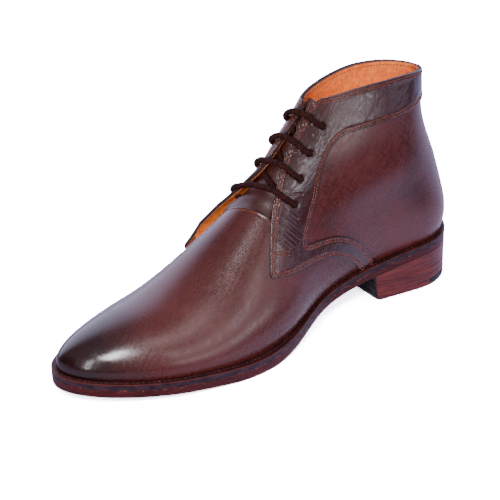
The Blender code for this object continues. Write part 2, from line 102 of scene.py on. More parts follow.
# %% Tables of the last
LAST_LENGTH = 296.0
WALL = 2.4               # outer leather and lining together
WELT_THICKNESS = 3.0
SEAM_GAP = 0.35
HEEL_ROUND, SHAFT_ROUND, TOE_ROUND, TOE_POWER = 36.0, 48.0, 63.0, 1.9
COLLAR_BACK, COLLAR_FRONT, COLLAR_RISE = (18.4, 150.0), (112.4, 148.3), 5.6
ANKLE_HEIGHT, ANKLE_REACH, BULGE_HEIGHT, BELLY_PEAK = 70.0, (90.0, 150.0), 60.0, 1.3
LAST_COLUMNS = ("x", "outer", "inner", "feather", "sole", "welt", "bulge", "dome", "lean")
LAST_ROWS = np.array((
    (0.0, 34.5, 33.5, 35.4, 8.8, 2.6, 1.9, 2.00, 0.0),
    (30.0, 32.0, 31.6, 34.7, 8.6, 3.4, 2.1, 1.95, -0.3),
    (60.0, 27.4, 29.4, 31.0, 9.3, 3.8, 2.4, 1.90, -0.6),
    (90.0, 24.0, 26.0, 24.7, 9.5, 2.9, 3.5, 1.85, -0.8),
    (120.0, 27.5, 24.5, 18.3, 9.6, 2.6, 4.3, 1.80, -1.8),
    (150.0, 40.5, 29.5, 13.6, 10.6, 3.6, 4.4, 1.70, -4.2),
    (180.0, 47.0, 37.5, 11.2, 11.6, 5.2, 3.5, 1.60, -6.5),
    (210.0, 45.5, 41.5, 11.9, 10.7, 4.8, 2.4, 1.60, -4.5),
    (240.0, 40.0, 39.5, 14.0, 10.1, 4.2, 1.0, 1.70, 0.0),
    (270.0, 32.4, 34.8, 15.9, 10.1, 3.8, 0.5, 1.90, 0.0),
    (LAST_LENGTH, 26.0, 34.6, 17.8, 10.6, 3.2, 0.6, 2.10, 0.0)))
RIDGE_ROWS = np.array((  # the top line in side view, from the toe to above the collar's front
    (LAST_LENGTH, 18.0), (295.4, 25.0), (288.0, 31.7), (270.0, 39.1), (250.0, 43.6), (225.0, 48.4),
    (200.0, 60.3), (175.0, 79.0), (150.0, 101.5), (130.0, 125.5), (112.0, 148.3), (90.0, 185.0),
    (60.0, 255.0)))
BACK_ROWS = np.array((  # height and x of the back line
    (35.4, 0.0), (50.0, -1.5), (70.0, 1.6), (90.0, 7.1), (110.0, 15.0), (125.0, 18.4), (140.0, 18.4),
    (150.0, 18.0)))
SHAFT_ROWS = np.array((  # height and half width of the ankle
    (35.0, 33.0), (60.0, 32.5), (90.0, 32.6), (115.0, 31.2), (145.0, 23.6)))
print("the last is", LAST_LENGTH, "mm long and has", len(LAST_ROWS), "sections")

# %% [markdown]
# ## Smooth lines through the tables
# Straight lines between the entries would leave facets in polished leather. A natural cubic spline passes
# through every entry and bends no more than a thin strip of wood would, which is how a fair line is drawn.

# %% Splines
def spline(knots, heights):
    """A natural cubic spline, straight beyond its ends."""
    order = np.argsort(knots)
    knots, heights = np.asarray(knots)[order], np.asarray(heights)[order]
    steps, slopes = np.diff(knots), np.diff(heights) / np.diff(knots)
    system, change = np.eye(len(knots)), np.zeros(len(knots))
    for i in range(1, len(knots) - 1):
        system[i, i - 1:i + 2] = steps[i - 1], 2 * (steps[i - 1] + steps[i]), steps[i]
        change[i] = 6 * (slopes[i] - slopes[i - 1])
    bend = np.linalg.solve(system, change)
    first = slopes[0] - steps[0] * bend[1] / 6
    last = slopes[-1] + steps[-1] * bend[-2] / 6

    def at(x):
        inside = np.clip(x, knots[0], knots[-1])
        i = np.clip(np.searchsorted(knots, inside) - 1, 0, len(knots) - 2)
        a = (knots[i + 1] - inside) / steps[i]
        b = 1 - a
        bow = ((a**3 - a) * bend[i] + (b**3 - b) * bend[i + 1]) * steps[i] ** 2 / 6
        beyond = np.minimum(x - knots[0], 0) * first + np.maximum(x - knots[-1], 0) * last
        return a * heights[i] + b * heights[i + 1] + bow + beyond
    return at


def of_last(column):
    return spline(LAST_ROWS[:, 0], LAST_ROWS[:, LAST_COLUMNS.index(column)])


outer_half, inner_half, feather = of_last("outer"), of_last("inner"), of_last("feather")
sole_depth, welt_margin, bulge = of_last("sole"), of_last("welt"), of_last("bulge")
dome_power, lean = of_last("dome"), of_last("lean")
back_x = spline(BACK_ROWS[:, 0], BACK_ROWS[:, 1])
shaft_half = spline(SHAFT_ROWS[:, 0], SHAFT_ROWS[:, 1])


def smooth_line(points, step=0.8):
    """A smooth line through a few points of any dimension, as many points a step apart."""
    points = np.asarray(points, float)
    along = np.r_[0, np.cumsum(np.linalg.norm(np.diff(points, axis=0), axis=1))]
    s = np.linspace(0, along[-1], max(2, int(along[-1] / step)))
    return np.column_stack([spline(along, points[:, k])(s) for k in range(points.shape[1])])


RIDGE = smooth_line(RIDGE_ROWS, 0.4)
RIDGE[:, 0] = np.minimum.accumulate(RIDGE[:, 0])
RIDGE = RIDGE[::-1]


def ridge_height(x):
    return np.interp(x, RIDGE[:, 0], RIDGE[:, 1])


print("the last's ridge has", len(RIDGE), "points")

# %% [markdown]
# ## The upper's surface as a function
# One function gives the distance to either side at any place of the side view. It blends the last's
# domed sections with the slimmer ankle, rounds the heel and the toe, and adds a soft belly above the
# feather line. All panels, stitches, eyelets and laces are placed on it.

# %% The surface function
ROUND_CHANGES = (40.0, 100.0)    # the heel's round plan opens to the shaft's between these heights


def smooth(t):
    t = np.clip(t, 0, 1)
    return t * t * (3 - 2 * t)


def rounding(distance, reach, power=2.1):
    return np.sqrt(np.clip(1 - (1 - np.clip(distance / reach, 0, 1)) ** power, 0, 1))


def half_width(x):
    return (outer_half(x) + inner_half(x)) / 2 * rounding(LAST_LENGTH - x, TOE_ROUND, TOE_POWER)


def centre(x):
    return (outer_half(x) - inner_half(x)) / 2


def surface_y(x, z, side):
    """y of the upper's outer surface, with side +1 for the boot's outer side and -1 for the inner."""
    on_last = np.clip(x, 0, LAST_LENGTH)
    floor, top = feather(on_last), ridge_height(x)
    rise = np.clip((z - floor) / np.maximum(top - floor, 1e-6), 0, 1)
    roof = np.sqrt(np.clip(1 - rise ** dome_power(x), 0, 1))
    reach = (ANKLE_REACH[1] - x) / (ANKLE_REACH[1] - ANKLE_REACH[0])
    ankle = smooth((z - floor) / ANKLE_HEIGHT) * smooth(reach)
    width = half_width(on_last) * (1 - ankle) + shaft_half(z) * ankle
    turn = np.pi * np.clip((z - floor) / np.clip(top - floor, 1, BULGE_HEIGHT), 0, 1)
    belly = np.sin(turn) * (1 + np.cos(turn)) / BELLY_PEAK
    width = width + bulge(x) * belly * rounding(LAST_LENGTH - x, TOE_ROUND, TOE_POWER)
    opened = smooth((z - ROUND_CHANGES[0]) / (ROUND_CHANGES[1] - ROUND_CHANGES[0]))
    heel = HEEL_ROUND + (SHAFT_ROUND - HEEL_ROUND) * opened
    middle = centre(on_last) * (1 - ankle) + lean(x) * rise
    return middle + side * width * roof * rounding(x - back_x(z), heel)


def collar_height(x):
    """The collar's top edge: a shallow arch from the back to the top of the lacing."""
    along = np.clip((x - COLLAR_BACK[0]) / (COLLAR_FRONT[0] - COLLAR_BACK[0]), 0, None)
    straight = COLLAR_BACK[1] + (COLLAR_FRONT[1] - COLLAR_BACK[1]) * along
    return straight + COLLAR_RISE * 4 * along * (1 - along)


print("ankle width", round(float(2 * shaft_half(110.0)), 1), "mm at 110 mm up")

# %% [markdown]
# ## Places on the leather
# A stitch, an eyelet or a lace is easiest to place as a shoemaker measures it: so far along the ridge, and
# so far out from it to one side. A section square to the ridge turns those two numbers into a point, and
# its neighbours give the direction straight out of the leather.

# %% Sections square to the ridge
SECTION_REACH = 75.0             # a section is followed this far down the side


def section(ridge_x, distance, lift=0.0):
    """A point of the surface in the section square to the ridge, this far to the outer side of it (to the
    inner side below 0), lifted off the surface."""
    run = ridge_height(ridge_x + 1) - ridge_height(ridge_x - 1)
    down = np.array([run, -2.0]) / np.hypot(run, 2.0)
    side = 1 if distance >= 0 else -1
    steps = np.linspace(0, 1, 200) ** 2 * SECTION_REACH
    x, z = ridge_x + down[0] * steps, ridge_height(ridge_x) + down[1] * steps
    y = surface_y(x, z, side)
    off = np.maximum.accumulate(side * (y - surface_y(ridge_x, ridge_height(ridge_x), 1)))
    point = np.array([np.interp(abs(distance), off, line) for line in (x, y, z)])
    return point + lift * section_normal(ridge_x, distance) if lift else point


def section_normal(ridge_x, distance, step=0.6):
    across = section(ridge_x, distance + step) - section(ridge_x, distance - step)
    along = section(ridge_x - step, distance) - section(ridge_x + step, distance)
    out = np.cross(across, along)
    return out / np.linalg.norm(out)


print("the instep's middle is", round(float(section(160.0, 0.0)[2]), 1), "mm up at 160 mm")

# %% [markdown]
# ## A fine skin to cut the leather from
# A cutter lays patterns on the last. Here the whole last is first covered with one fine grid, the skin.
# In front of JOIN_X its columns are upright sections, spaced by angle so that the crest is as fine as the
# sides. Behind it they close in on the round back of the heel. The two sides share their points along the
# ridge, the back seam and the toe tip. Each point remembers where it lies from the ridge, because the
# lacing edges are drawn there.

# %% Build the skin
JOIN_X = 100.0
CELL = 1.7               # the grid's usual step
SKIN_ROWS = 60
OVER_COLLAR = 3.0        # the skin reaches this far above the collar, to be trimmed
FINE_TOE, FINE_HEEL = 40.0, 26.0         # closer columns on the last stretch at either end
PLACE_RANGE, PLACE_STEP = (84.0, 290.0), 0.5     # the stretch of the ridge that has places
X, Y, Z, NX, NY, NZ, S, D, SIDE, E = range(10)   # columns of a skin's table of points


def skin_top(x):
    collar = collar_height(np.minimum(x, COLLAR_FRONT[0] + OVER_COLLAR)) + OVER_COLLAR
    return np.where(x > COLLAR_FRONT[0] + OVER_COLLAR, ridge_height(x), np.minimum(collar, ridge_height(x)))


def ridge_place(x, z):
    """The ridge x whose square section passes through each place of the side view."""
    s = np.arange(*PLACE_RANGE, PLACE_STEP)
    slope = ridge_height(s + 0.5) - ridge_height(s - 0.5)
    ahead = (x[:, None] - s + (z[:, None] - ridge_height(s)) * slope) / np.hypot(1.0, slope)
    first = np.clip(np.argmax(ahead < 0, axis=1), 1, None)
    rows = np.arange(len(x))
    a, b = ahead[rows, first - 1], ahead[rows, first]
    share = np.clip(a / np.where(np.abs(a - b) < 1e-9, 1, a - b), 0, 1)
    return np.where((ahead >= 0).all(axis=1), s[-1], s[first - 1] + PLACE_STEP * share)


def point_normals(points, faces):
    quads = np.array([f if len(f) == 4 else (*f, f[2]) for f in faces])
    corner = points[quads]
    flat = np.cross(corner[:, 2] - corner[:, 0], corner[:, 3] - corner[:, 1])
    total = np.zeros_like(points)
    for k in range(4):
        np.add.at(total, quads[:, k], flat)
    return total / np.maximum(np.linalg.norm(total, axis=1, keepdims=True), 1e-12)


print("places along the ridge run from", PLACE_RANGE[0], "to", PLACE_RANGE[1], "mm")

# %% [markdown]
# ## Laying the grid
# The columns of both sides are worked out first, then their points, and the faces last. Points that two
# faces should share get one number, so the skin is closed along the ridge and the back without any merging.

# %% Lay the skin
def make_skin():
    toe = LAST_LENGTH - FINE_TOE * np.linspace(1, 0, 34) ** 2
    front = np.concatenate([np.arange(JOIN_X, toe[0] - CELL / 2, CELL), toe])
    round_back = FINE_HEEL * np.linspace(0, 1, 20) ** 2
    rear = np.concatenate([round_back, np.arange(round_back[-1] + CELL, JOIN_X - CELL / 2, CELL)]) / JOIN_X
    theta = np.linspace(0, 1, SKIN_ROWS)
    columns = []
    for x in front:
        floor, ridge = feather(x), ridge_height(x)
        share = np.clip((skin_top(x) - floor) / max(ridge - floor, 1e-6), 0, 1)
        widest = np.arcsin(share ** (dome_power(x) / 2))
        rise = np.sin(theta * widest) ** (2 / dome_power(x))
        columns.append((np.full(SKIN_ROWS, x), floor + (ridge - floor) * rise))
    join_share = (columns[0][1] - feather(JOIN_X)) / (skin_top(JOIN_X) - feather(JOIN_X))
    start = back_x(feather(0.0) + join_share * (skin_top(20.0) - feather(0.0)))
    behind = []
    for share in rear:
        x = start + (JOIN_X - start) * share
        on_last = np.maximum(x, 0)
        behind.append((x, feather(on_last) + join_share * (skin_top(x) - feather(on_last))))
    columns = behind + columns
    x, z = (np.array([c[k] for c in columns]) for k in (0, 1))
    count = x.shape
    index = np.arange(2 * x.size).reshape(2, *count)
    index[1, 0] = index[0, 0]
    index[:, -1] = index[0, -1, 0]
    shared = x[:, -1] >= COLLAR_FRONT[0] + OVER_COLLAR
    index[1, shared, -1] = index[0, shared, -1]
    y = np.array([surface_y(x, z, side) for side in (1, -1)])
    points = np.stack([np.broadcast_to(x, y.shape), y, np.broadcast_to(z, y.shape)], axis=-1)
    points = points.reshape(-1, 3)
    faces = []
    for side in (0, 1):
        grid = index[side]
        quads = np.stack([grid[:-1, :-1], grid[1:, :-1], grid[1:, 1:], grid[:-1, 1:]], axis=-1)
        quads = quads.reshape(-1, 4)
        for quad in (quads[:, ::-1] if side == 0 else quads).tolist():
            face = tuple(dict.fromkeys(quad))
            if len(face) > 2:
                faces.append(face)
    s = ridge_place(points[:, 0], points[:, 2])
    d = points[:, 1] - surface_y(s, ridge_height(s) - 1e-3, 1)
    sides = np.repeat([1.0, -1.0], x.size)
    table = np.column_stack([points, point_normals(points, faces), s, d, sides, np.zeros(len(points))])
    return table, faces


skin_table, skin_faces = make_skin()
print("the skin has", len(skin_faces), "faces")

# %% [markdown]
# ## Knife and needle
# A pattern piece is cut out of the skin along a line. Instead of a Boolean, each face that the line
# crosses is split where a number stored on its points passes through a level, as contour lines are found
# on a map. The same cut made at other distances from the edge gives the rounded edge, the grooves that the
# stitches pull into the leather, and the stitch lines themselves.

# %% Cutting at a level
def edge_key(a, b):
    return min(a, b), max(a, b)


def cut(table, faces, values, keep_low=True):
    """Splits faces where values pass 0; faces below 0 are kept only if asked. Also gives the line's
    edges."""
    high = values >= 0
    made, rows, kept, line = {}, [], [], []

    def crossing(a, b):
        key = edge_key(a, b)
        if key not in made:
            share = values[a] / (values[a] - values[b])
            made[key] = len(table) + len(rows)
            rows.append(table[a] * (1 - share) + table[b] * share)
        return made[key]
    for face in faces:
        signs = high[list(face)]
        if signs.all() or not signs.any():
            if signs[0] or keep_low:
                kept.append(face)
            continue
        above, below, ends = [], [], []
        for k, a in enumerate(face):
            b = face[(k + 1) % len(face)]
            (above if signs[k] else below).append(a)
            if signs[k] != high[b]:
                point = crossing(a, b)
                above.append(point)
                below.append(point)
                ends.append(point)
        kept.append(tuple(above))
        if keep_low:
            kept.append(tuple(below))
        if len(ends) == 2:
            line.append(tuple(ends))
    return (np.vstack([table, rows]) if rows else table), kept, line


print("ready to cut", len(skin_faces), "faces")

# %% [markdown]
# ## Finer skin where it is needed
# The skin is fine enough for a plain panel but not for a small hole or a wrinkle. A wanted face is split in
# four round its middle. Its neighbours only take in the new points on the edges that they share, so that
# no gap opens between them.

# %% Splitting in four
def refine(table, faces, wanted):
    """Splits the wanted faces in four; their neighbours take the new points on shared edges."""
    middles, rows = {}, []

    def middle(a, b):
        key = edge_key(a, b)
        if key not in middles:
            middles[key] = len(table) + len(rows)
            rows.append((table[a] + table[b]) / 2)
        return middles[key]
    result = []
    for face, split in zip(faces, wanted):
        if not split:
            continue
        ring = [middle(a, b) for a, b in zip(face, face[1:] + face[:1])]
        hub = len(table) + len(rows)
        rows.append(table[list(face)].mean(axis=0))
        result += [(face[k], ring[k], hub, ring[k - 1]) for k in range(len(face))]
    for face, split in zip(faces, wanted):
        if split:
            continue
        grown = []
        for a, b in zip(face, face[1:] + face[:1]):
            grown.append(a)
            if edge_key(a, b) in middles:
                grown.append(middles[edge_key(a, b)])
        result.append(tuple(grown))
    return (np.vstack([table, rows]) if rows else table), result


print("a split leaves", CELL / 2, "mm between points")

# %% [markdown]
# ## From edges to a line
# A cut gives its line as loose edges in no order. A thread needs them one after another, so they are joined
# end to end, from the open ends first.

# %% Joining edges
def chains(edges):
    """Joins edges end to end into open or closed runs of points."""
    near = {}
    for a, b in edges:
        near.setdefault(a, []).append(b)
        near.setdefault(b, []).append(a)
    starts = [p for p, others in near.items() if len(others) == 1] + list(near)
    used, runs = set(), []
    for start in starts:
        if start in used:
            continue
        run = [start]
        used.add(start)
        while True:
            ahead = [p for p in near[run[-1]] if p not in used]
            if not ahead:
                break
            run.append(ahead[0])
            used.add(ahead[0])
        if len(near[run[0]]) > 1 and run[0] in near[run[-1]]:
            run.append(run[0])
        if len(run) > 2:
            runs.append(run)
    return runs


print("ready to follow cut lines")

# %% [markdown]
# ## Ruler
# A cut needs a number for every point: how far inside the pattern's outline it lies. The outline is drawn
# in side view, where it is easy to think about, but near the line the distance is measured over the leather
# itself, so that a seam keeps its width where the boot curves away.

# %% Measuring from a line
AT_ONCE = 40             # steps of a line handled together, to save memory


def line_distance(points, line):
    """The distance from each point to a line of points, in as many dimensions as they have."""
    best = np.full(len(points), 1e9)
    starts, ways = line[:-1], np.diff(line, axis=0)
    squares = np.maximum((ways ** 2).sum(axis=1), 1e-12)
    for begin in range(0, len(starts), AT_ONCE):
        part = slice(begin, begin + AT_ONCE)
        gap = points[:, None, :] - starts[None, part]
        share = np.clip((gap * ways[None, part]).sum(axis=2) / squares[part], 0, 1)
        gap -= share[..., None] * ways[None, part]
        best = np.minimum(best, np.sqrt((gap ** 2).sum(axis=2)).min(axis=1))
    return best


def inside(points, loop):
    """True for the points of the side view that lie within a closed line."""
    x, z = points[:, 0], points[:, 1]
    result = np.zeros(len(points), bool)
    for (x0, z0), (x1, z1) in zip(loop, np.roll(loop, -1, axis=0)):
        if z0 != z1:
            result ^= ((z0 > z) != (z1 > z)) & (x < (x1 - x0) * (z - z0) / (z1 - z0) + x0)
    return result


def placed(line, side, lift=0.0):
    """A side view line laid on the surface."""
    line = np.asarray(line, float)
    y = surface_y(line[:, 0], line[:, 1], side)
    return np.column_stack([line[:, 0], y + side * lift, line[:, 1]])


def edge_distance(table, line, side, closing=(), reach=9.0):
    """How far inside a side view outline each point lies, measured on the leather near it. The outline is
    the line and then the closing points, which only say where inside is."""
    flat = table[:, (X, Z)]
    away = line_distance(flat, line)
    near = away < reach
    away[near] = line_distance(table[near][:, (X, Y, Z)], placed(line, side))
    outline = np.vstack([line, closing]) if len(closing) else line
    return np.where(inside(flat, outline), away, -away)


def corner(a, b, radius):
    """The smaller of two distances, with a round corner where both are small."""
    rounded = radius - np.hypot(np.maximum(radius - a, 0), np.maximum(radius - b, 0))
    return np.where((a < radius) & (b < radius), rounded, np.minimum(a, b))


print("the skin spans", round(float(np.ptp(skin_table[:, X])), 1), "mm")

# %% [markdown]
# ## The pattern lines
# The pattern has few pieces. The vamp covers the toes and runs back on both sides. Each side has a
# quarter round the heel. Over them lies one long piece a side: the facing with the eyelets, the collar band
# and a tail that curves down to the heel. Lines are drawn in side view through a few points, and the far
# lacing edge by its distance from the ridge.

# %% Pattern lines
FACING_EDGE = ((103.0, 151.0), (107.6, 148.9), (110.9, 146.8), (113.6, 143.9), (116.5, 139.3),
               (123.3, 130.9), (129.3, 123.5), (135.2, 115.3), (141.5, 105.9), (146.7, 97.0),
               (150.2, 90.8), (154.2, 82.5), (159.2, 69.7), (163.6, 57.0))
FACING_TIP = ((163.9, 54.6), (162.6, 53.3))
LOWER_EDGE = ((158.0, 52.7), (148.0, 51.9), (138.3, 51.4), (126.7, 50.6), (116.8, 49.9), (106.5, 47.0),
              (100.0, 43.6), (91.7, 36.8), (82.9, 25.7), (79.0, 18.0))
TAIL_EDGE = ((67.0, 20.0), (72.8, 30.8), (81.8, 45.1), (95.3, 57.2), (106.0, 61.7), (120.6, 62.9),
             (128.0, 63.3))
WINDOW_CORNER = ((131.3, 64.5), (131.0, 67.0))
BAND_EDGE = ((128.1, 73.7), (123.2, 83.6), (119.9, 90.0), (114.2, 105.5), (109.3, 115.0), (103.7, 122.4),
             (97.1, 127.0), (86.0, 129.0), (69.5, 130.0), (52.2, 130.8), (34.0, 131.6), (18.1, 132.0))
FAR_EDGE = np.array((  # the inner side's lacing edge: place along the ridge, distance from it
    (104.0, 3.2), (112.0, 2.6), (119.0, 2.3), (123.0, 1.5), (127.0, 0.5), (135.0, -1.8), (140.0, -4.2),
    (145.0, -7.0), (152.0, -12.0), (158.0, -17.5)))
far_edge = spline(FAR_EDGE[:, 0], FAR_EDGE[:, 1])
FAR_FRONT = ((143.8, 106.0), (147.6, 96.5), (150.8, 86.5), (157.0, 76.0), (164.5, 64.5), (172.0, 54.5),
             (176.0, 50.0))
FAR_LOWER = ((176.2, 47.6), (170.0, 47.4), (158.0, 49.6), (146.0, 51.0), (138.3, 51.4))
FAR_PULL = np.array((  # height, and how far the loose inner facing stands away there
    (112.0, 0.0, 0.0, 0.0), (104.0, 0.3, -0.8, 0.2), (96.0, 0.9, -2.5, 0.5), (86.0, 2.4, -6.0, 0.8),
    (76.0, 3.8, -9.5, 0.7), (64.0, 4.8, -12.0, 0.0), (49.0, 4.5, -7.0, 0.0), (40.0, 4.5, -5.0, 0.0)))
NEAR_EYELETS = ((117.0, 13.5), (128.5, 14.5), (139.0, 16.0), (148.5, 19.5))
FAR_EYELETS = ((121.0, -7.0), (132.0, -9.5), (143.0, -13.2), (157.0, -19.5))
THROAT_SEAM = np.array((  # distance from the ridge, place along it
    (-24.0, 170.0), (-15.0, 167.0), (-10.0, 165.2), (-3.5, 163.0), (3.5, 161.2), (8.0, 160.0),
    (13.5, 159.2), (18.0, 159.0), (24.0, 160.5)))
throat_seam = spline(THROAT_SEAM[:, 0], THROAT_SEAM[:, 1])
FAR_CLOSING = ((118.0, 170.0), (143.8, 135.0))
QUARTER_LOW = ((76.0, 26.0), (86.0, 41.5), (98.0, 52.5), (107.0, 57.0), (121.0, 58.0), (135.5, 60.0))
QUARTER_FRONT = ((134.0, 73.0), (128.5, 85.0), (124.5, 92.0), (119.0, 107.0), (114.0, 117.5),
                 (107.0, 127.5), (99.0, 132.0), (86.0, 134.0), (52.0, 136.0), (19.0, 136.5))
QUARTER_CLOSING = ((-20.0, 30.0), (-20.0, 8.0))
VAMP_BACK = ((79.5, 8.0), (80.5, 24.0), (89.0, 38.0), (98.0, 48.0), (106.0, 52.5), (117.0, 55.5),
             (130.0, 57.0), (146.0, 58.5), (155.0, 62.0), (152.0, 74.0), (147.0, 92.0))
VAMP_CLOSING = ((140.0, 130.0), (320.0, 130.0), (320.0, 8.0))
print("the facing's edge is drawn through", len(FACING_EDGE), "points")

# %% [markdown]
# ## Closed outlines
# The drawn lines are smoothed and joined, one outline for each piece. Behind the heel they run past the
# leather, so that the two sides of the boot meet at the back seam without an edge.

# %% Outlines
PAST_BACK = 4.0          # outlines run this far behind the heel


def back_line(low, high):
    z = np.linspace(low, high, 30)
    return np.column_stack([back_x(z) - PAST_BACK, z])


def collar_line(end=101.5):
    x = np.linspace(COLLAR_BACK[0], end, 60)
    return np.column_stack([x, collar_height(x)])


tail_and_band = np.vstack([smooth_line(TAIL_EDGE + WINDOW_CORNER + BAND_EDGE), back_line(132.5, 149.5)])
near_line = np.vstack([collar_line(), smooth_line(FACING_EDGE + FACING_TIP), smooth_line(LOWER_EDGE),
                       tail_and_band, collar_line()[:1]])
far_front = smooth_line(FAR_FRONT)
far_line = np.vstack([far_front, smooth_line(FAR_LOWER[:-1] + LOWER_EDGE[2:]), tail_and_band,
                      collar_line(112.0)])
quarter_line = np.vstack([((77.0, 8.0),), smooth_line(QUARTER_LOW), smooth_line(QUARTER_FRONT),
                          back_line(136.0, 35.0)])
vamp_back = smooth_line(VAMP_BACK)
print("near piece drawn with", len(near_line), "points")

# %% [markdown]
# ## Leather pieces
# A cut piece becomes leather by giving it thickness: the outer face is lifted along the skin's normals, the
# flesh side lies under it, and a wall joins them along the cut. Near its edge the piece is rounded, and at
# each stitch row the thread has pulled a shallow groove. The wall keeps a finish of its own. A Solidify
# modifier would give one thickness everywhere; here the lift can differ from point to point.

# %% Thickness
OVERLAY_LIFT = 1.15      # the facing, band and tail lie this much above the quarter
EDGE_RADIUS = 0.55
STITCH_ROWS = (1.5, 3.1)
GROOVE_DEPTH, GROOVE_WIDTH = 0.16, 0.42
SHARP_LEATHER = np.radians(48)
leather_pieces = []


def skin_distance(table, places):
    """The distance from each point to the nearest of some places given as (ridge x, distance)."""
    spots = np.array([section(s, d) for s, d in places])
    return np.sqrt(((table[:, None, :3] - spots) ** 2).sum(axis=2)).min(axis=1)


def rounded_edge(edge, radius=EDGE_RADIUS):
    short = 1 - np.clip(edge / radius, 0, 1)
    return -radius * 0.8 * (1 - np.sqrt(np.clip(1 - short ** 2, 0, 1)))


def grooves(edge, rows=STITCH_ROWS):
    return -GROOVE_DEPTH * sum(np.exp(-((edge - row) / GROOVE_WIDTH) ** 2) for row in rows)


def make_piece(name, table, faces, lift, under, pull=None):
    """A closed piece of leather from a cut skin: its outer face at lift and its flesh side at under."""
    used = np.unique(np.concatenate([np.array(f) for f in faces]))
    order = np.full(len(table), -1)
    order[used] = np.arange(len(used))
    count, rows = len(used), table[used]
    lift = np.broadcast_to(lift, len(table))[used][:, None]
    under = np.broadcast_to(under, len(table))[used][:, None]
    normals = rows[:, NX:NZ + 1]
    normals = normals / np.linalg.norm(normals, axis=1, keepdims=True)
    points = np.vstack([rows[:, :3] + normals * lift, rows[:, :3] + normals * under])
    if pull is not None:
        points += np.tile(pull[used], (2, 1))
    points -= (HEEL_MIDDLE, 0, 0)
    top = [tuple(order[list(f)].tolist()) for f in faces]
    low = [tuple(v + count for v in reversed(f)) for f in top]
    edges = {(a, b) for f in top for a, b in zip(f, f[1:] + f[:1])}
    wall = [(b, a, a + count, b + count) for a, b in sorted(edges) if (b, a) not in edges]
    mesh = bpy.data.meshes.new(name)
    mesh.from_pydata((points * MM).tolist(), [], top + low + wall)
    mesh.polygons.foreach_set("material_index", [0] * len(top) + [1] * len(low) + [2] * len(wall))
    mesh.polygons.foreach_set("use_smooth", [True] * len(mesh.polygons))
    mesh.attributes.new("edge", "FLOAT", "POINT").data.foreach_set("value", np.tile(rows[:, E], 2))
    mesh.set_sharp_from_angle(angle=SHARP_LEATHER)
    leather_pieces.append(add_object(name, mesh))
    print(name, len(mesh.polygons), "faces")


def trim(table, faces, values, levels=()):
    """Drops what lies below 0 and splits the rest at the levels. Also gives the line cut at each level."""
    table = table.copy()
    table[:, E] = values
    lines = []
    table, faces, _ = cut(table, faces, table[:, E], keep_low=False)
    for level in levels:
        table, faces, line = cut(table, faces, table[:, E] - level)
        lines.append(line)
    return table, faces, lines


def only(faces, wanted):
    """The faces all of whose points are wanted."""
    return [f for f in faces if wanted[list(f)].all()]


print("edge radius", EDGE_RADIUS, "mm; stitch rows", STITCH_ROWS, "mm from the edge")

# %% [markdown]
# ## The facing, collar band and tail
# This is the piece that gives the boot its look. It covers the ankle like a second collar, holds the
# eyelets and sweeps down to the heel. The skin is made finer round the lacing before it is cut, for the
# small holes and the wrinkles. The inner side's facing is loose: below the last eyelet it stands away from
# the vamp, so each of its points is pulled out, less and less away from the edge.

# %% Facing, band and tail
EYELET_RADIUS = 1.75
EYELET_DIP = 0.55
EYELET_RINGS = (0.25, 0.6, 1.2)  # the leather is split at these distances round a hole
FOLD_REACH = 16.0                # a fold changes nothing further away
PULL_FADES = 15.0                # the loose facing's pull fades over this distance
FAR_TURN, FAR_ROUND = 145.0, 4.0         # the ridge place where its edge turns down, and its top corner
LEVEL_FROM = 112.0               # the collar's edge stays level in front of this x
WRINKLES = (  # soft folds that the lace pulls: ends as (ridge x, distance), width, depth
    ((118.5, 9.8), (122.5, 5.6), 0.55, 0.28), ((115.0, 10.0), (116.5, 5.2), 0.55, 0.24),
    ((130.0, 10.6), (134.0, 6.6), 0.55, 0.28), ((127.0, 10.5), (128.0, 5.5), 0.5, 0.22),
    ((140.5, 12.2), (144.5, 9.0), 0.55, 0.26), ((150.5, 16.2), (153.0, 14.0), 0.55, 0.26),
    ((151.5, 17.5), (152.3, 22.4), 0.5, 0.26), ((153.0, 18.4), (154.2, 24.0), 0.42, 0.20),
    ((154.6, 19.4), (155.6, 25.2), 0.5, 0.28), ((156.4, 20.2), (157.0, 25.0), 0.42, 0.20),
    ((158.0, 21.1), (158.2, 27.0), 0.5, 0.28), ((159.8, 22.4), (160.2, 27.4), 0.42, 0.20),
    ((161.5, 23.7), (162.2, 28.7), 0.5, 0.26), ((163.2, 25.0), (163.8, 29.0), 0.42, 0.18),
    ((164.8, 26.4), (165.8, 30.0), 0.5, 0.20), ((149.0, 14.5), (143.5, 18.5), 0.6, 0.20),
    ((133.0, 12.4), (127.0, 15.2), 0.5, 0.18), ((121.5, 12.5), (119.0, 15.5), 0.45, 0.16))


def between(start, end, share):
    """A place on the way from one (ridge x, distance) to another."""
    return start[0] + (end[0] - start[0]) * share, start[1] + (end[1] - start[1]) * share


def fold_depth(table, folds):
    """Soft troughs along short lines of the surface, with the leather raised beside them."""
    depth = np.zeros(len(table))
    for start, end, width, deep in folds:
        way = np.array([section(*between(start, end, t)) for t in np.linspace(0, 1, 9)])
        close = np.abs(table[:, :3] - way.mean(axis=0)).max(axis=1) < FOLD_REACH
        away = line_distance(table[close][:, :3], way) / width
        depth[close] += deep * (0.45 * np.exp(-((away - 2.2) / 1.1) ** 2) - np.exp(-away ** 2))
    return depth


def far_top(table):
    """How far inside the inner facing's upper edge and the collar each point lies."""
    places, line = table[:, (S, D)], smooth_line(FAR_EDGE)
    ahead = line_distance(places, line[line[:, 0] < FAR_TURN + 0.5])
    beyond = (places[:, 0] < FAR_TURN) | (places[:, 1] > 0)
    ahead[beyond & (places[:, 1] > far_edge(places[:, 0]))] *= -1
    over = collar_height(np.minimum(table[:, X], LEVEL_FROM)) - table[:, Z]
    return corner(ahead, over, FAR_ROUND)


def far_value(table):
    return np.minimum(edge_distance(table, far_line, -1, FAR_CLOSING), far_top(table))


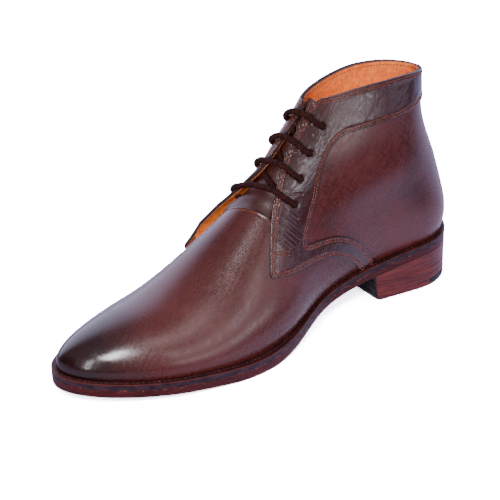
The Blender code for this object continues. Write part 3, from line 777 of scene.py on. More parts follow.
def far_pull(table):
    """How far each point of the loose inner facing is pulled away from the vamp."""
    heights, steps = FAR_PULL[::-1, 0], FAR_PULL[::-1, 1:]
    away = line_distance(table[:, :3], placed(far_front, -1))
    share = np.where(table[:, D] < 0, np.exp(-(away / PULL_FADES) ** 2), 0)
    return np.column_stack([np.interp(table[:, Z], heights, steps[:, k]) * share for k in range(3)])


print(len(WRINKLES), "folds round the lacing")

# %% [markdown]
# ## Cutting the facing pieces
# Stitch lines are by-products of the cut: the skin is split along each row's distance from the edge, and
# the points of that split are kept for the thread. The eyelets are punched through last, so that their
# rims stay round.

# %% Cut facing, band and tail
FINE_ALONG, FINE_ACROSS, FINE_FROM_X = (110, 172), (-24, 33), 96     # the lacing, where the skin is finer
CROSSING = (150, 9, 92, 90)      # where the inner facing laps over the ridge: s, d, x and z
LEVELS = (0.18, 0.55, 1.1, 1.5, 1.9, 2.7, 3.1, 3.5)     # the skin is split at these edge distances
sewn = {}                        # stitch lines: name to a list of runs of points


def by_side(table, faces):
    """The faces of the outer side and those of the inner side."""
    outer = [table[list(f), SIDE].mean() > 0.999 for f in faces]
    return [f for f, on in zip(faces, outer) if on], [f for f, on in zip(faces, outer) if not on]


fine_table, fine_faces = skin_table, skin_faces
for _ in range(2):
    x, s, d = (fine_table[:, k] for k in (X, S, D))
    lacing = (s > FINE_ALONG[0]) & (s < FINE_ALONG[1]) & (x > FINE_FROM_X)
    lacing &= (d > FINE_ACROSS[0]) & (d < FINE_ACROSS[1])
    fine_table, fine_faces = refine(fine_table, fine_faces, [lacing[list(f)].all() for f in fine_faces])
outer_faces, inner_faces = by_side(fine_table, fine_faces)
s, d, x, z = (fine_table[:, k] for k in (S, D, X, Z))
crossing = (s < CROSSING[0]) & (d < CROSSING[1]) & (x > CROSSING[2]) & (z > CROSSING[3])
crossing_faces = only(outer_faces, crossing)


def sew(name, table, line, lift, wanted=None, pull=None):
    """Keeps a cut line as a stitch line, on the leather's surface."""
    points = table[:, :3] + table[:, NX:NZ + 1] * np.broadcast_to(lift, len(table))[:, None]
    if pull is not None:
        points = points + pull
    if wanted is not None:
        line = [pair for pair in line if wanted[list(pair)].all()]
    sewn.setdefault(name, []).extend(points[run] - (HEEL_MIDDLE, 0, 0) for run in chains(line))


def pierce(table, faces, places):
    """Cuts the eyelets and gives how deep the leather dips round them."""
    away = skin_distance(table, places)
    table, faces, _ = cut(table, faces, away - EYELET_RADIUS, keep_low=False)
    for ring in EYELET_RINGS:
        away = skin_distance(table, places)
        table, faces, _ = cut(table, faces, away - EYELET_RADIUS - ring)
    away = skin_distance(table, places) - EYELET_RADIUS
    return table, faces, -EYELET_DIP * np.exp(-np.clip(away, 0, 9) / 0.7) + rounded_edge(away, 0.4)


def overlay(name, faces, value, places, folds, pull=None):
    table, faces, lines = trim(fine_table, faces, value(fine_table), LEVELS)
    table, faces, dip = pierce(table, faces, places)
    lift = OVERLAY_LIFT + rounded_edge(table[:, E]) + grooves(table[:, E]) + dip + fold_depth(table, folds)
    moved = None if pull is None else pull(table)
    for number, row in enumerate(STITCH_ROWS):
        sew(name + "_" + str(number), table, lines[LEVELS.index(row)], lift, pull=moved)
    make_piece(name, table, faces, lift, -WALL / 2, moved)


def near_value(table):
    return edge_distance(table, near_line, 1)


overlay("facing_outer", outer_faces, near_value, NEAR_EYELETS, WRINKLES)
overlay("facing_inner", inner_faces + crossing_faces, far_value, FAR_EYELETS, (), far_pull)
print("stitch runs:", {name: len(runs) for name, runs in sewn.items()})

# %% [markdown]
# ## The quarters and the vamp
# The quarters wrap the heel under the facing pieces. The vamp is one piece from side to side: it is pulled
# over the toe wet, which smooths it there. Both end out of sight under the tails.

# %% Quarters and vamp
THROAT_ROW, THROAT_REACH = 1.6, 17.0     # the seam's distance from the edge, and from the ridge at its ends
FOOT_TOP = 60.0                  # above this height the throat bounds the vamp
EDGE_LEVELS = (0.18, 0.55)       # the skin is split here, so that an edge can be rounded


def quarter_value(table, side):
    return edge_distance(table, quarter_line, side, QUARTER_CLOSING)


def vamp_value(table):
    outer, inner = (edge_distance(table, vamp_back, side, VAMP_CLOSING) for side in (1, -1))
    level = np.where(table[:, SIDE] > 0, outer, inner)
    over_foot = table[:, Z] > FOOT_TOP
    return np.minimum(level, np.where(over_foot, table[:, S] - throat_seam(table[:, D]), 99.0))


def quarter(name, faces, side):
    table, faces, _ = trim(skin_table, faces, quarter_value(skin_table, side), EDGE_LEVELS)
    make_piece(name, table, faces, rounded_edge(table[:, E]), -WALL / 2)


skin_outer, skin_inner = by_side(skin_table, skin_faces)
quarter("quarter_outer", skin_outer, 1)
quarter("quarter_inner", skin_inner, -1)
table, faces, lines = trim(fine_table, fine_faces, vamp_value(fine_table),
                           (*EDGE_LEVELS, 1.2, THROAT_ROW, 2.0))
lift = rounded_edge(table[:, E]) + grooves(table[:, E], (THROAT_ROW,))
at_throat = table[:, S] < throat_seam(table[:, D]) + THROAT_ROW + 0.6
sew("throat", table, lines[3], lift, wanted=at_throat & (np.abs(table[:, D]) < THROAT_REACH))
make_piece("vamp", table, faces, lift, -WALL / 2)
print("throat stitch runs:", len(sewn["throat"]))

# %% [markdown]
# ## The lining
# A thin tan leather, pebbled by its grain, faces the inside. It could be the inner wall of the same solid,
# but a piece of its own can have its own leather and edge. It follows the loose inner facing as it is
# pulled open. A row of dark stitches joins it to the collar just below the top edge.

# %% Lining
LINING_ROW, ROW_END = 2.3, 104.0         # the seam's distance from the edge, and the x of its front end
LINING_FACE = -2.0       # the lining is 0.8 mm thick
PULL_FROM = 50.0         # below this height the lining stays with the vamp
NEAR_LINING = ((163.0, 8.0), (-20.0, 8.0), (-20.0, 150.0))
FAR_LINING = ((176.0, 8.0), (-20.0, 8.0), (-20.0, 170.0), (118.0, 170.0), (143.8, 135.0))


def lining(name, faces, value, pull=None):
    table = skin_table if pull is None else fine_table
    table, faces, lines = trim(table, faces, value(table), (0.3, LINING_ROW))
    moved = None if pull is None else pull(table) * smooth((table[:, Z] - PULL_FROM) / 8.0)[:, None]
    rounded = rounded_edge(table[:, E], 0.3)
    near_top = collar_height(table[:, X]) - table[:, Z] < LINING_ROW + 1.5
    sew("lining", table, lines[1], LINING_FACE - 0.05, wanted=near_top & (table[:, X] < ROW_END), pull=moved)
    make_piece(name, table, faces, -WALL / 2 + 0.02 + rounded, LINING_FACE, moved)


def near_lining_value(table):
    front = near_line[:len(collar_line()) + len(smooth_line(FACING_EDGE + FACING_TIP))]
    return edge_distance(table, front, 1, NEAR_LINING) - 0.15


def far_lining_value(table):
    return np.minimum(edge_distance(table, far_front, -1, FAR_LINING), far_top(table)) - 0.15


lining("lining_outer", skin_outer, near_lining_value)
lining("lining_inner", inner_faces + crossing_faces, far_lining_value, far_pull)
print("lining rows:", len(sewn["lining"]))

# %% [markdown]
# ## The tongue
# A dark leaf fills the lacing gap. It is a sheet of the same leather, laid under the facings from the vamp's
# throat to the collar. It has no pattern line to be cut along, so it is laid out directly as a grid of
# places along the ridge and across it. Its inner half goes part of the way with the loose facing.

# %% Tongue
TONGUE_ROWS = ((173.0, 20.0), (160.0, 23.5), (145.0, 22.0), (130.0, 19.0), (116.0, 16.0), (110.0, 14.0))
TONGUE_DEPTHS = ((173.0, 2.8), (163.0, 2.9), (155.0, 4.0), (118.0, 4.4), (110.0, 3.6))
TONGUE_THICK = 1.8
TONGUE_GRID = (64, 34)
TONGUE_FOLLOWS = 0.75    # how much of the inner facing's pull the tongue shares
FAR_FROM_EDGE = 9.0      # an edge distance past which no edge darkening shows


def tongue_table():
    """A grid of section points under the ridge, as a skin of its own."""
    rows, depths = np.array(TONGUE_ROWS), np.array(TONGUE_DEPTHS)
    half = spline(rows[:, 0], rows[:, 1])
    stations, shares = np.linspace(*rows[[0, -1], 0], TONGUE_GRID[0]), np.linspace(-1, 1, TONGUE_GRID[1])
    points, places, faces = [], [], []
    for s in stations:
        depth = np.interp(s, depths[::-1, 0], depths[::-1, 1])
        end = smooth((s - rows[-1, 0]) / 5.0)
        for share in shares:
            d = share * half(s) * (0.7 + 0.3 * end)
            pucker = 0.25 * np.sin(s * 0.9 + share * 3.0) * (1 - share ** 2)
            points.append(section(s, d, -depth + pucker))
            places.append((s, d))
    across = len(shares)
    for r in range(len(stations) - 1):
        for c in range(across - 1):
            a = r * across + c
            faces.append((a, a + across, a + across + 1, a + 1))
    points, (s, d) = np.array(points), np.array(places).T
    rows = np.column_stack([points, np.zeros((len(points), 3)), s, d, -np.ones(len(points)), 0 * d])
    follow = TONGUE_FOLLOWS * smooth(-d / 10.0) * smooth((TONGUE_ROWS[0][0] - s) / 10.0)
    points = points + far_pull(rows) * follow[:, None]
    normals = point_normals(points, faces)
    return np.column_stack([points, normals, np.zeros((len(points), 3)), 0 * d + FAR_FROM_EDGE]), faces


table, faces = tongue_table()
if table[:, NZ].mean() < 0:
    table[:, NX:NZ + 1] *= -1
    faces = [f[::-1] for f in faces]
make_piece("tongue_leather", table, faces, 0.0, -TONGUE_THICK)

# %% [markdown]
# ## The lace
# A round waxed lace is braided, so its surface is a fine herringbone. Each bar comes up through one eyelet,
# is drawn tight over both facings and goes down through the other. Between the bars the lace runs
# slantwise under the facings, where a little of it shows in the gap. A string pulled tight over a few
# points touches only the highest ones, and that line with a slight bow is each bar's path.

# %% Lace
LACE_RADIUS = 1.95
LACE_BOWS = (3.6, 3.3, 2.4, 1.7)      # a drawn lace still stands this much off a straight line
LACE_RISES = (0.0, 0.0, 0.8)          # its bow leans upwards from the surface's normal
UNDER_FACING = 3.2                    # the hidden runs lie this deep
LACE_ENDS = (-3.4, -1.6, 0.7)         # heights of a bar's path in its eyelets
LACE_SIDES = 22
BRAID_RELIEF, BRAID_STRANDS, BRAID_PITCH = 0.05, 4, 2.1
NEAR_THROAT = np.array((              # the outer facing's edge: place along the ridge, distance from it
    (117.9, 4.3), (124.7, 4.2), (130.7, 4.5), (137.0, 5.7), (144.1, 8.2), (150.7, 11.7), (155.3, 14.8),
    (161.3, 19.2)))
near_throat = spline(NEAR_THROAT[:, 0], NEAR_THROAT[:, 1])
laces = []


def taut(across, heights):
    """The highest points that a tight string between the first and the last would touch."""
    kept = []
    for point in zip(across, heights):
        while len(kept) > 1:
            (x0, z0), (x1, z1) = kept[-2:]
            if (x1 - x0) * (point[1] - z0) < (z1 - z0) * (point[0] - x0):
                break
            kept.pop()
        kept.append(point)
    return np.array(kept)


def pulled_section(s, d, lift=0.0):
    """A point over the facings, moved as the loose inner facing is."""
    point = section(s, d, lift)
    return point + far_pull(np.array([[*point, 0, 0, 0, s, d, -1 if d < 0 else 1, 0]]))[0]


def bar_path(near, far, bow):
    """Up out of the inner eyelet, tight over the gap, and down into the outer one."""
    shares = np.linspace(0.06, 0.94, 40)
    lift = OVERLAY_LIFT + LACE_RADIUS - 0.1
    points = []
    for share in shares:
        s, d = between(far, near, share)
        on_leather = d < far_edge(s) or d > near_throat(s)
        points.append(pulled_section(s, d, lift if on_leather else -1.0))
    points = np.array(points)
    way = points[-1] - points[0]
    length = np.linalg.norm(way)
    way /= length
    up = section_normal((near[0] + far[0]) / 2, 2.0) + LACE_RISES
    up -= way * (up @ way)
    up /= np.linalg.norm(up)
    along, high = (points - points[0]) @ way, (points - points[0]) @ up
    order = np.argsort(along)
    string = taut(along[order], high[order])
    run = np.linspace(0, length, 24)
    high = np.interp(run, string[:, 0], string[:, 1]) + bow * np.sin(np.pi * (run / length) ** 0.85)
    middle = points[0] + np.outer(run, way) + np.outer(high, up)
    ends = []
    for s, d in (far, near):
        ends.append([pulled_section(s, d, height) for height in LACE_ENDS])
    return smooth_line(np.vstack([ends[0], middle[1:-1:3], ends[1][::-1]]), 0.32)


print("eyelets lie", [near[1] - far[1] for near, far in zip(NEAR_EYELETS, FAR_EYELETS)], "mm apart")

# %% [markdown]
# ## The braided tube
# Each ring of the tube is carried along the path without twisting. Two waves that turn opposite ways are
# multiplied to raise the strands, which is enough relief for the eye at this size.

# %% Lace tubes
def make_lace(name, path):
    steps = np.gradient(path, axis=0)
    ways = steps / np.linalg.norm(steps, axis=1, keepdims=True)
    run = np.r_[0, np.cumsum(np.linalg.norm(np.diff(path, axis=0), axis=1))]
    turn = np.arange(LACE_SIDES) * 2 * np.pi / LACE_SIDES
    up = np.cross(ways[0], (0.3, 0.2, 1.0))
    points, faces = [], []
    for place, way, s in zip(path, ways, run):
        up = up - way * (up @ way)
        up /= np.linalg.norm(up)
        side = np.cross(way, up)
        around, ahead = BRAID_STRANDS * turn, BRAID_PITCH * s
        strands = np.sin(around + ahead) * np.sin(around - ahead + 0.6)
        radius = LACE_RADIUS * (1 + BRAID_RELIEF * strands)
        points.append(place + np.outer(np.cos(turn) * radius, up) + np.outer(np.sin(turn) * radius, side))
    points = np.vstack(points)
    for k in range(len(path) - 1):
        for i in range(LACE_SIDES):
            j, a = (i + 1) % LACE_SIDES, k * LACE_SIDES
            faces.append((a + i, a + j, a + LACE_SIDES + j, a + LACE_SIDES + i))
    faces.append(tuple(reversed(range(LACE_SIDES))))
    faces.append(tuple(range(len(points) - LACE_SIDES, len(points))))
    mesh = bpy.data.meshes.new(name)
    mesh.from_pydata(((points - (HEEL_MIDDLE, 0, 0)) * MM).tolist(), [], faces)
    mesh.shade_smooth()
    laces.append(add_object(name, mesh))


for number, (near, far, bow) in enumerate(zip(NEAR_EYELETS, FAR_EYELETS, LACE_BOWS), start=1):
    make_lace("lace_" + str(number), bar_path(near, far, bow))
for number, (near, far) in enumerate(zip(NEAR_EYELETS[1:], FAR_EYELETS[:-1]), start=1):
    path = [section(*between(far, near, t), -UNDER_FACING - 0.3 * np.sin(np.pi * t))
            for t in np.linspace(0.02, 0.98, 14)]
    make_lace("lace_under_" + str(number), smooth_line(path, 0.4))
print("lace pieces:", len(laces))

# %% [markdown]
# ## Stitches
# There are over a thousand stitches, all alike, so one Geometry Nodes tree makes them. It walks along the
# stitch lines at an even pitch, sets a small bead of thread at each step, leans it a little as a machine
# stitch leans, and turns the result into plain mesh. Its inputs are the pitch, the bead's length and width,
# the lean and the thread, so that one tree serves the upper, the lining and the welt.

# %% The stitch tree
def stitch_tree():
    tree = bpy.data.node_groups.new("stitches", "GeometryNodeTree")
    face = tree.interface
    face.new_socket("Lines", in_out="INPUT", socket_type="NodeSocketGeometry")
    inputs = {}
    for label, kind, value in (("Pitch", "NodeSocketFloat", 0.002), ("Length", "NodeSocketFloat", 0.0015),
                               ("Width", "NodeSocketFloat", 0.0005), ("Lean", "NodeSocketFloat", 0.1)):
        socket = face.new_socket(label, in_out="INPUT", socket_type=kind)
        socket.default_value = value
        inputs[label] = socket.identifier
    socket = face.new_socket("Thread", in_out="INPUT", socket_type="NodeSocketMaterial")
    inputs["Thread"] = socket.identifier
    face.new_socket("Stitches", in_out="OUTPUT", socket_type="NodeSocketGeometry")

    def node(kind, **settings):
        made = tree.nodes.new(kind)
        for key, value in settings.items():
            setattr(made, key, value)
        return made
    start, end = node("NodeGroupInput"), node("NodeGroupOutput")
    curve, walk = node("GeometryNodeMeshToCurve"), node("GeometryNodeCurveToPoints", mode="LENGTH")
    ball = node("GeometryNodeMeshUVSphere")
    ball.inputs["Segments"].default_value = 6
    ball.inputs["Rings"].default_value = 5
    ball.inputs["Radius"].default_value = 0.5
    size = node("ShaderNodeCombineXYZ")
    shape = node("GeometryNodeTransform")
    place = node("GeometryNodeInstanceOnPoints")
    lean = node("FunctionNodeRandomValue", data_type="FLOAT_VECTOR")
    lean.inputs["Seed"].default_value = 7
    flip = node("ShaderNodeVectorMath", operation="SCALE")
    high = node("ShaderNodeCombineXYZ")
    turn = node("FunctionNodeEulerToRotation")
    both = node("FunctionNodeRotateRotation", rotation_space="LOCAL")
    real, paint = node("GeometryNodeRealizeInstances"), node("GeometryNodeSetMaterial")
    flat = node("GeometryNodeSetShadeSmooth")
    links = (
        (start.outputs["Lines"], curve.inputs["Mesh"]), (curve.outputs["Curve"], walk.inputs["Curve"]),
        (start.outputs["Pitch"], walk.inputs["Length"]),
        (start.outputs["Width"], size.inputs["X"]), (start.outputs["Width"], size.inputs["Y"]),
        (start.outputs["Length"], size.inputs["Z"]), (size.outputs[0], shape.inputs["Scale"]),
        (ball.outputs["Mesh"], shape.inputs["Geometry"]),
        (walk.outputs["Points"], place.inputs["Points"]), (shape.outputs[0], place.inputs["Instance"]),
        (start.outputs["Lean"], high.inputs["X"]), (start.outputs["Lean"], high.inputs["Y"]),
        (high.outputs[0], flip.inputs[0]), (high.outputs[0], lean.inputs["Max"]),
        (flip.outputs[0], lean.inputs["Min"]), (lean.outputs[0], turn.inputs[0]),
        (walk.outputs["Rotation"], both.inputs["Rotation"]), (turn.outputs[0], both.inputs["Rotate By"]),
        (both.outputs[0], place.inputs["Rotation"]), (place.outputs[0], real.inputs[0]),
        (real.outputs[0], flat.inputs[0]), (flat.outputs[0], paint.inputs["Geometry"]),
        (start.outputs["Thread"], paint.inputs["Material"]), (paint.outputs[0], end.inputs[0]))
    flip.inputs["Scale"].default_value = -1.0
    for a, b in links:
        tree.links.new(a, b)
    return tree, inputs


stitch_nodes, stitch_inputs = stitch_tree()
print("the stitch tree has", len(stitch_nodes.nodes), "nodes")

# %% [markdown]
# ## Sewing along a line
# The tree needs a line to walk on. Each run of points becomes a chain of edges, the modifier turns it into
# beads, and the evaluated result is kept as plain mesh while the line and its modifier are thrown away.

# %% Sewing
stitch_pieces = []


def sew_lines(name, runs, thread, pitch=2.0, length=1.5, width=0.5, lean=0.10):
    """Stitches along runs of points, as one plain mesh."""
    points = np.vstack(runs) * MM
    edges, begin = [], 0
    for run in runs:
        edges += [(begin + k, begin + k + 1) for k in range(len(run) - 1)]
        begin += len(run)
    mesh = bpy.data.meshes.new(name + "_line")
    mesh.from_pydata(points.tolist(), edges, [])
    line = add_object(name + "_line", mesh)
    modifier = line.modifiers.new("stitches", "NODES")
    modifier.node_group = stitch_nodes
    for label, value in (("Pitch", pitch * MM), ("Length", length * MM), ("Width", width * MM),
                         ("Lean", lean), ("Thread", thread)):
        modifier[stitch_inputs[label]] = value
    ready = line.evaluated_get(bpy.context.evaluated_depsgraph_get())
    made = add_object(name, bpy.data.meshes.new_from_object(ready))
    line.modifiers.clear()
    bpy.data.objects.remove(line, do_unlink=True)
    stitch_pieces.append(made)
    print(name, len(made.data.polygons), "faces")
    return made


print("ready to sew", len(sewn), "seams")

# %% [markdown]
# ## The sole's outline
# The welt, the outsole and the heel all follow one outline, the last's feather line moved outwards. Each
# solid is built from rows of that outline, like a stack of contour lines on a map. A row is given by an
# inset from the trimmed edge and by a height, so the list of a solid's rows is its profile.

# %% Sole outline
SOLE_STATIONS = 150
WELT_UNDER_WALL = 1.9
sole_pieces = []


def spaced(count):
    return (1 - np.cos(np.pi * np.linspace(0, 1, count))) / 2


def outline(margin, stations=SOLE_STATIONS):
    """Two lines from the heel's back to the toe, outside the feather line by margin(x)."""
    x = LAST_LENGTH * spaced(stations)
    sides = []
    for side in (1, -1):
        line = np.column_stack([x, centre(x) + side * half_width(x) * rounding(x, HEEL_ROUND)])
        ahead = np.gradient(line, axis=0)
        ahead /= np.linalg.norm(ahead, axis=1, keepdims=True)
        out = side * np.column_stack([-ahead[:, 1], ahead[:, 0]])
        out[0], out[-1] = (-1, 0), (1, 0)
        sides.append(line + out * margin(x)[:, None])
    return sides


def sole_underside(x):
    return np.maximum(feather(x) - sole_depth(x), 0)


def row_at(margin, height):
    """A row of the outline, at a height that depends on x."""
    return [np.column_stack([line, height(np.clip(line[:, 0], 0, LAST_LENGTH))]) for line in outline(margin)]


def below_feather(depth):
    return lambda x: feather(x) - depth


def above_underside(height):
    return lambda x: sole_underside(x) + height


print("sole outline reaches", round(float(outline(welt_margin)[0][-1, 0]), 1), "mm")

# %% [markdown]
# ## Stacked solids
# Two neighbouring rows are joined by a band of quads on either side. The ends are closed by hand, because
# the two sides meet in a point at the toe but stand apart at the heel's breast. Doubles are merged and the
# normals worked out again at the end.

# %% Stack rows into a solid
SHARP_SOLE = np.radians(42)


def stacked(name, rows, ring=False, insets=None):
    """A solid whose side passes through the rows, from its top to its bottom. A ring closes on itself; a
    plate is filled from side to side. The insets say how far each row lies in from the trimmed edge."""
    count = len(rows[0][0])
    points = np.vstack([line for row in rows for line in row])
    faces = []

    def at(row, side, k):
        return (row * 2 + side) * count + k
    pairs = list(zip(range(len(rows)), range(1, len(rows))))
    pairs += [(len(rows) - 1, 0)] if ring else []
    for a, b in pairs:
        for side in (0, 1):
            for k in range(count - 1):
                quad = (at(a, side, k), at(a, side, k + 1), at(b, side, k + 1), at(b, side, k))
                faces.append(quad if side else quad[::-1])
        for k in (0, count - 1):
            quad = (at(a, 0, k), at(a, 1, k), at(b, 1, k), at(b, 0, k))
            faces.append(quad if k == 0 else quad[::-1])
    if not ring:
        for row in (0, len(rows) - 1):
            for k in range(count - 1):
                quad = (at(row, 0, k), at(row, 0, k + 1), at(row, 1, k + 1), at(row, 1, k))
                faces.append(quad[::-1] if row == 0 else quad)
    mesh = bpy.data.meshes.new(name)
    mesh.from_pydata(((points - (HEEL_MIDDLE, 0, 0)) * MM).tolist(), [], faces)
    depth = feather(np.clip(points[:, 0], 0, LAST_LENGTH)) - points[:, 2]
    inset = np.repeat(np.zeros(len(rows)) if insets is None else insets, 2 * count)
    for label, values in (("depth", depth), ("inset", inset)):
        mesh.attributes.new(label, "FLOAT", "POINT").data.foreach_set("value", values)
    shape = bmesh.new()
    shape.from_mesh(mesh)
    bmesh.ops.remove_doubles(shape, verts=shape.verts, dist=0.02 * MM)
    bmesh.ops.dissolve_degenerate(shape, edges=shape.edges, dist=0.005 * MM)
    bmesh.ops.recalc_face_normals(shape, faces=shape.faces)
    shape.to_mesh(mesh)
    shape.free()
    mesh.shade_smooth()
    mesh.set_sharp_from_angle(angle=SHARP_SOLE)
    sole_pieces.append(add_object(name, mesh))
    print(name, len(mesh.polygons), "faces")


print("ready to stack rows of", 2 * SOLE_STATIONS, "points")

# %% [markdown]
# ## The welt
# The welt is a strip of leather sewn round the upper. Its ledge carries the visible stitches, which lie in
# a groove. The outsole is cemented and sewn under it, and the edge of both is trimmed, waxed and burnished
# as one. A strip swept along a curve would do, but rows of the outline keep its width true at the waist.

# %% Welt
WELT_REACH = 1.2         # the welt's inner rows keep this much more than its margin
FULL_INSET = 4.6         # the innermost visible row's inset where the welt is wide
WELT_ROWS = (            # inset from the trimmed edge (none for the root under the wall), depth
    (None, 0.35), (4.6, 0.40), (3.4, 0.50), (2.8, 0.42), (2.5, 0.62), (2.1, 0.62), (1.8, 0.40),
    (1.0, 0.35), (0.35, 0.38), (0.08, 0.52), (0.0, 0.8), (0.0, 1.9), (0.0, 3.05), (0.02, 3.33),
    (0.1, 3.36), (None, 3.36))
UNDER_UPPER = 9.0        # the inset given to what lies under the upper


def welt_row(inset, depth):
    """A row of the welt, drawn closer together where the welt is narrow."""
    def margin(x):
        if inset is None:
            return np.full_like(x, -WELT_UNDER_WALL)
        return welt_margin(x) - np.minimum(inset, (welt_margin(x) + WELT_REACH) * inset / FULL_INSET)
    return row_at(margin, below_feather(depth))


stacked("welt_strip", [welt_row(*row) for row in WELT_ROWS], ring=True,
        insets=[UNDER_UPPER if inset is None else inset for inset, _ in WELT_ROWS])
sewing = row_at(lambda x: welt_margin(x) - (welt_margin(x) + WELT_REACH) * 0.5, below_feather(0.45))
sewn["welt"] = [smooth_line(line[3:-1]) - (HEEL_MIDDLE, 0, 0) for line in sewing]

# %% [markdown]
# ## The outsole
# It is a plate cut from stiff leather. Its rows run from the hidden top over the trimmed edge to the
# underside, where a shallow channel hides the seam. Each row is an inset and a height, which keeps the
# rounding of the edge and the channel readable as numbers.

# %% Outsole
SOLE_TOP = WELT_THICKNESS + 0.38
CHANNEL_INSET, CHANNEL_DEPTH = 6.0, 0.35
PLATE_ROWS = (
    (2.5, below_feather(SOLE_TOP)), (0.1, below_feather(SOLE_TOP)), (0.02, below_feather(SOLE_TOP + 0.05)),
    (0.0, below_feather(SOLE_TOP + 0.2)), (0.0, below_feather(6.0)), (0.0, above_underside(1.0)),
    (0.12, above_underside(0.4)), (0.5, above_underside(0.08)), (1.2, above_underside(0.0)),
    (CHANNEL_INSET - 0.6, above_underside(0.0)), (CHANNEL_INSET - 0.2, above_underside(CHANNEL_DEPTH)),
    (CHANNEL_INSET + 0.2, above_underside(CHANNEL_DEPTH)), (CHANNEL_INSET + 0.6, above_underside(0.0)),
    (9.0, above_underside(0.0)))


def plate_row(inset, height):
    return row_at(lambda x: welt_margin(x) - inset, height)


stacked("sole_plate", [plate_row(*row) for row in PLATE_ROWS], insets=[inset for inset, _ in PLATE_ROWS])

# %% [markdown]
# ## The stacked heel
# Layers of leather are glued and nailed into a block and sanded flush. A wedge fills the space up to the
# sloping sole, and the lowest layer ends in a rubber corner at the back, where most wear falls. Each layer
# keeps its own solid, with softened rims so that the joints read as fine lines.

# %% Heel
BREAST_X, BREAST_LEAN, BREAST_CORNER, HEEL_FLARE, HEEL_TOP = 73.2, 3.0, 3.0, 0.6, 26.0
TOP_PIECE, LIFT_TOPS, RUBBER_TIP_X = 5.0, (9.7, 14.4), 16.0
HEEL_STATIONS = 56
SOFT_RIM, LAYER_GAP = 0.22, 0.06
WEDGE_GAP = 0.12         # between the wedge and the sole above it


def heel_sides(height, inset=0.0, start=None, end=None):
    """The heel's two side lines at a height, closed by a flat breast in front."""
    down = 1 - height / HEEL_TOP
    fine = outline(lambda x: welt_margin(x) + HEEL_FLARE * down - inset, 240)
    breast = BREAST_X - BREAST_LEAN * down - inset
    first = fine[0][0, 0] if start is None else start + inset
    last = breast if end is None else end - inset
    x = first + (last - first) * spaced(HEEL_STATIONS)
    sides = []
    for side, line in zip((1, -1), fine):
        clip = BREAST_CORNER * (1 - rounding(breast - x, BREAST_CORNER, 2.0))
        sides.append(np.column_stack([x, np.interp(x, line[:, 0], line[:, 1]) - side * clip]))
    if start is None:
        sides[0][0, 1] = sides[1][0, 1] = (sides[0][0, 1] + sides[1][0, 1]) / 2
    return sides


def flat_row(height, inset=0.0, start=None, end=None):
    sides = heel_sides(height, inset, start, end)
    return [np.column_stack([line, np.full(len(line), height)]) for line in sides]


def layer(name, low, high, start=None, end=None):
    """A layer between two heights, with its rims rounded off."""
    low, high = low + LAYER_GAP, high - LAYER_GAP
    rounded = ((0.0, SOFT_RIM), (0.3 * SOFT_RIM, 0.3 * SOFT_RIM), (SOFT_RIM, 0.0))
    rows = [(high - down, inset) for down, inset in rounded] + [((low + high) / 2, 0.0)]
    rows += [(low + up, inset) for up, inset in reversed(rounded)]
    stacked(name, [flat_row(height, inset, start, end) for height, inset in rows])


layer("top_layer", 0.0, TOP_PIECE, RUBBER_TIP_X + 0.1, None)
layer("rubber_corner", 0.0, TOP_PIECE, None, RUBBER_TIP_X - 0.1)
layer("lift_low", TOP_PIECE, LIFT_TOPS[0])
layer("lift_high", LIFT_TOPS[0], LIFT_TOPS[1])
wedge_rows = []
for inset, down in ((SOFT_RIM, WEDGE_GAP), (0.0, WEDGE_GAP + SOFT_RIM)):
    wedge_rows.append([np.column_stack([line, sole_underside(np.clip(line[:, 0], 0, None)) - down])
                       for line in heel_sides(HEEL_TOP, inset)])
low = LIFT_TOPS[1] + LAYER_GAP
stacked("wedge", wedge_rows + [flat_row(low + 3.0), flat_row(low + SOFT_RIM), flat_row(low, SOFT_RIM)])

# %% [markdown]
# ## The footbed
# A tan sock of leather lies on the cork filling inside. The two are one plate here, because only the top is
# ever seen. Its rim is soft, and it stays just inside the wall.

# %% Footbed
FOOTBED_ROWS = ((1.6, -2.4), (0.9, -2.3), (0.5, -1.9), (0.0, -1.0), (0.0, 3.35))   # inset, depth


def footbed_row(inset, depth):
    return row_at(lambda x: np.full_like(x, -WALL - SEAM_GAP - inset), below_feather(depth))


stacked("footbed", [footbed_row(*row) for row in FOOTBED_ROWS])

# %% [markdown]
# ## Painting with nodes
# Every finish is mixed from noise, stretched noise and the numbers stored on the meshes, such as how far a
# point lies from its piece's edge. Wiring nodes one by one takes many lines, so a few short helpers keep
# each recipe readable.

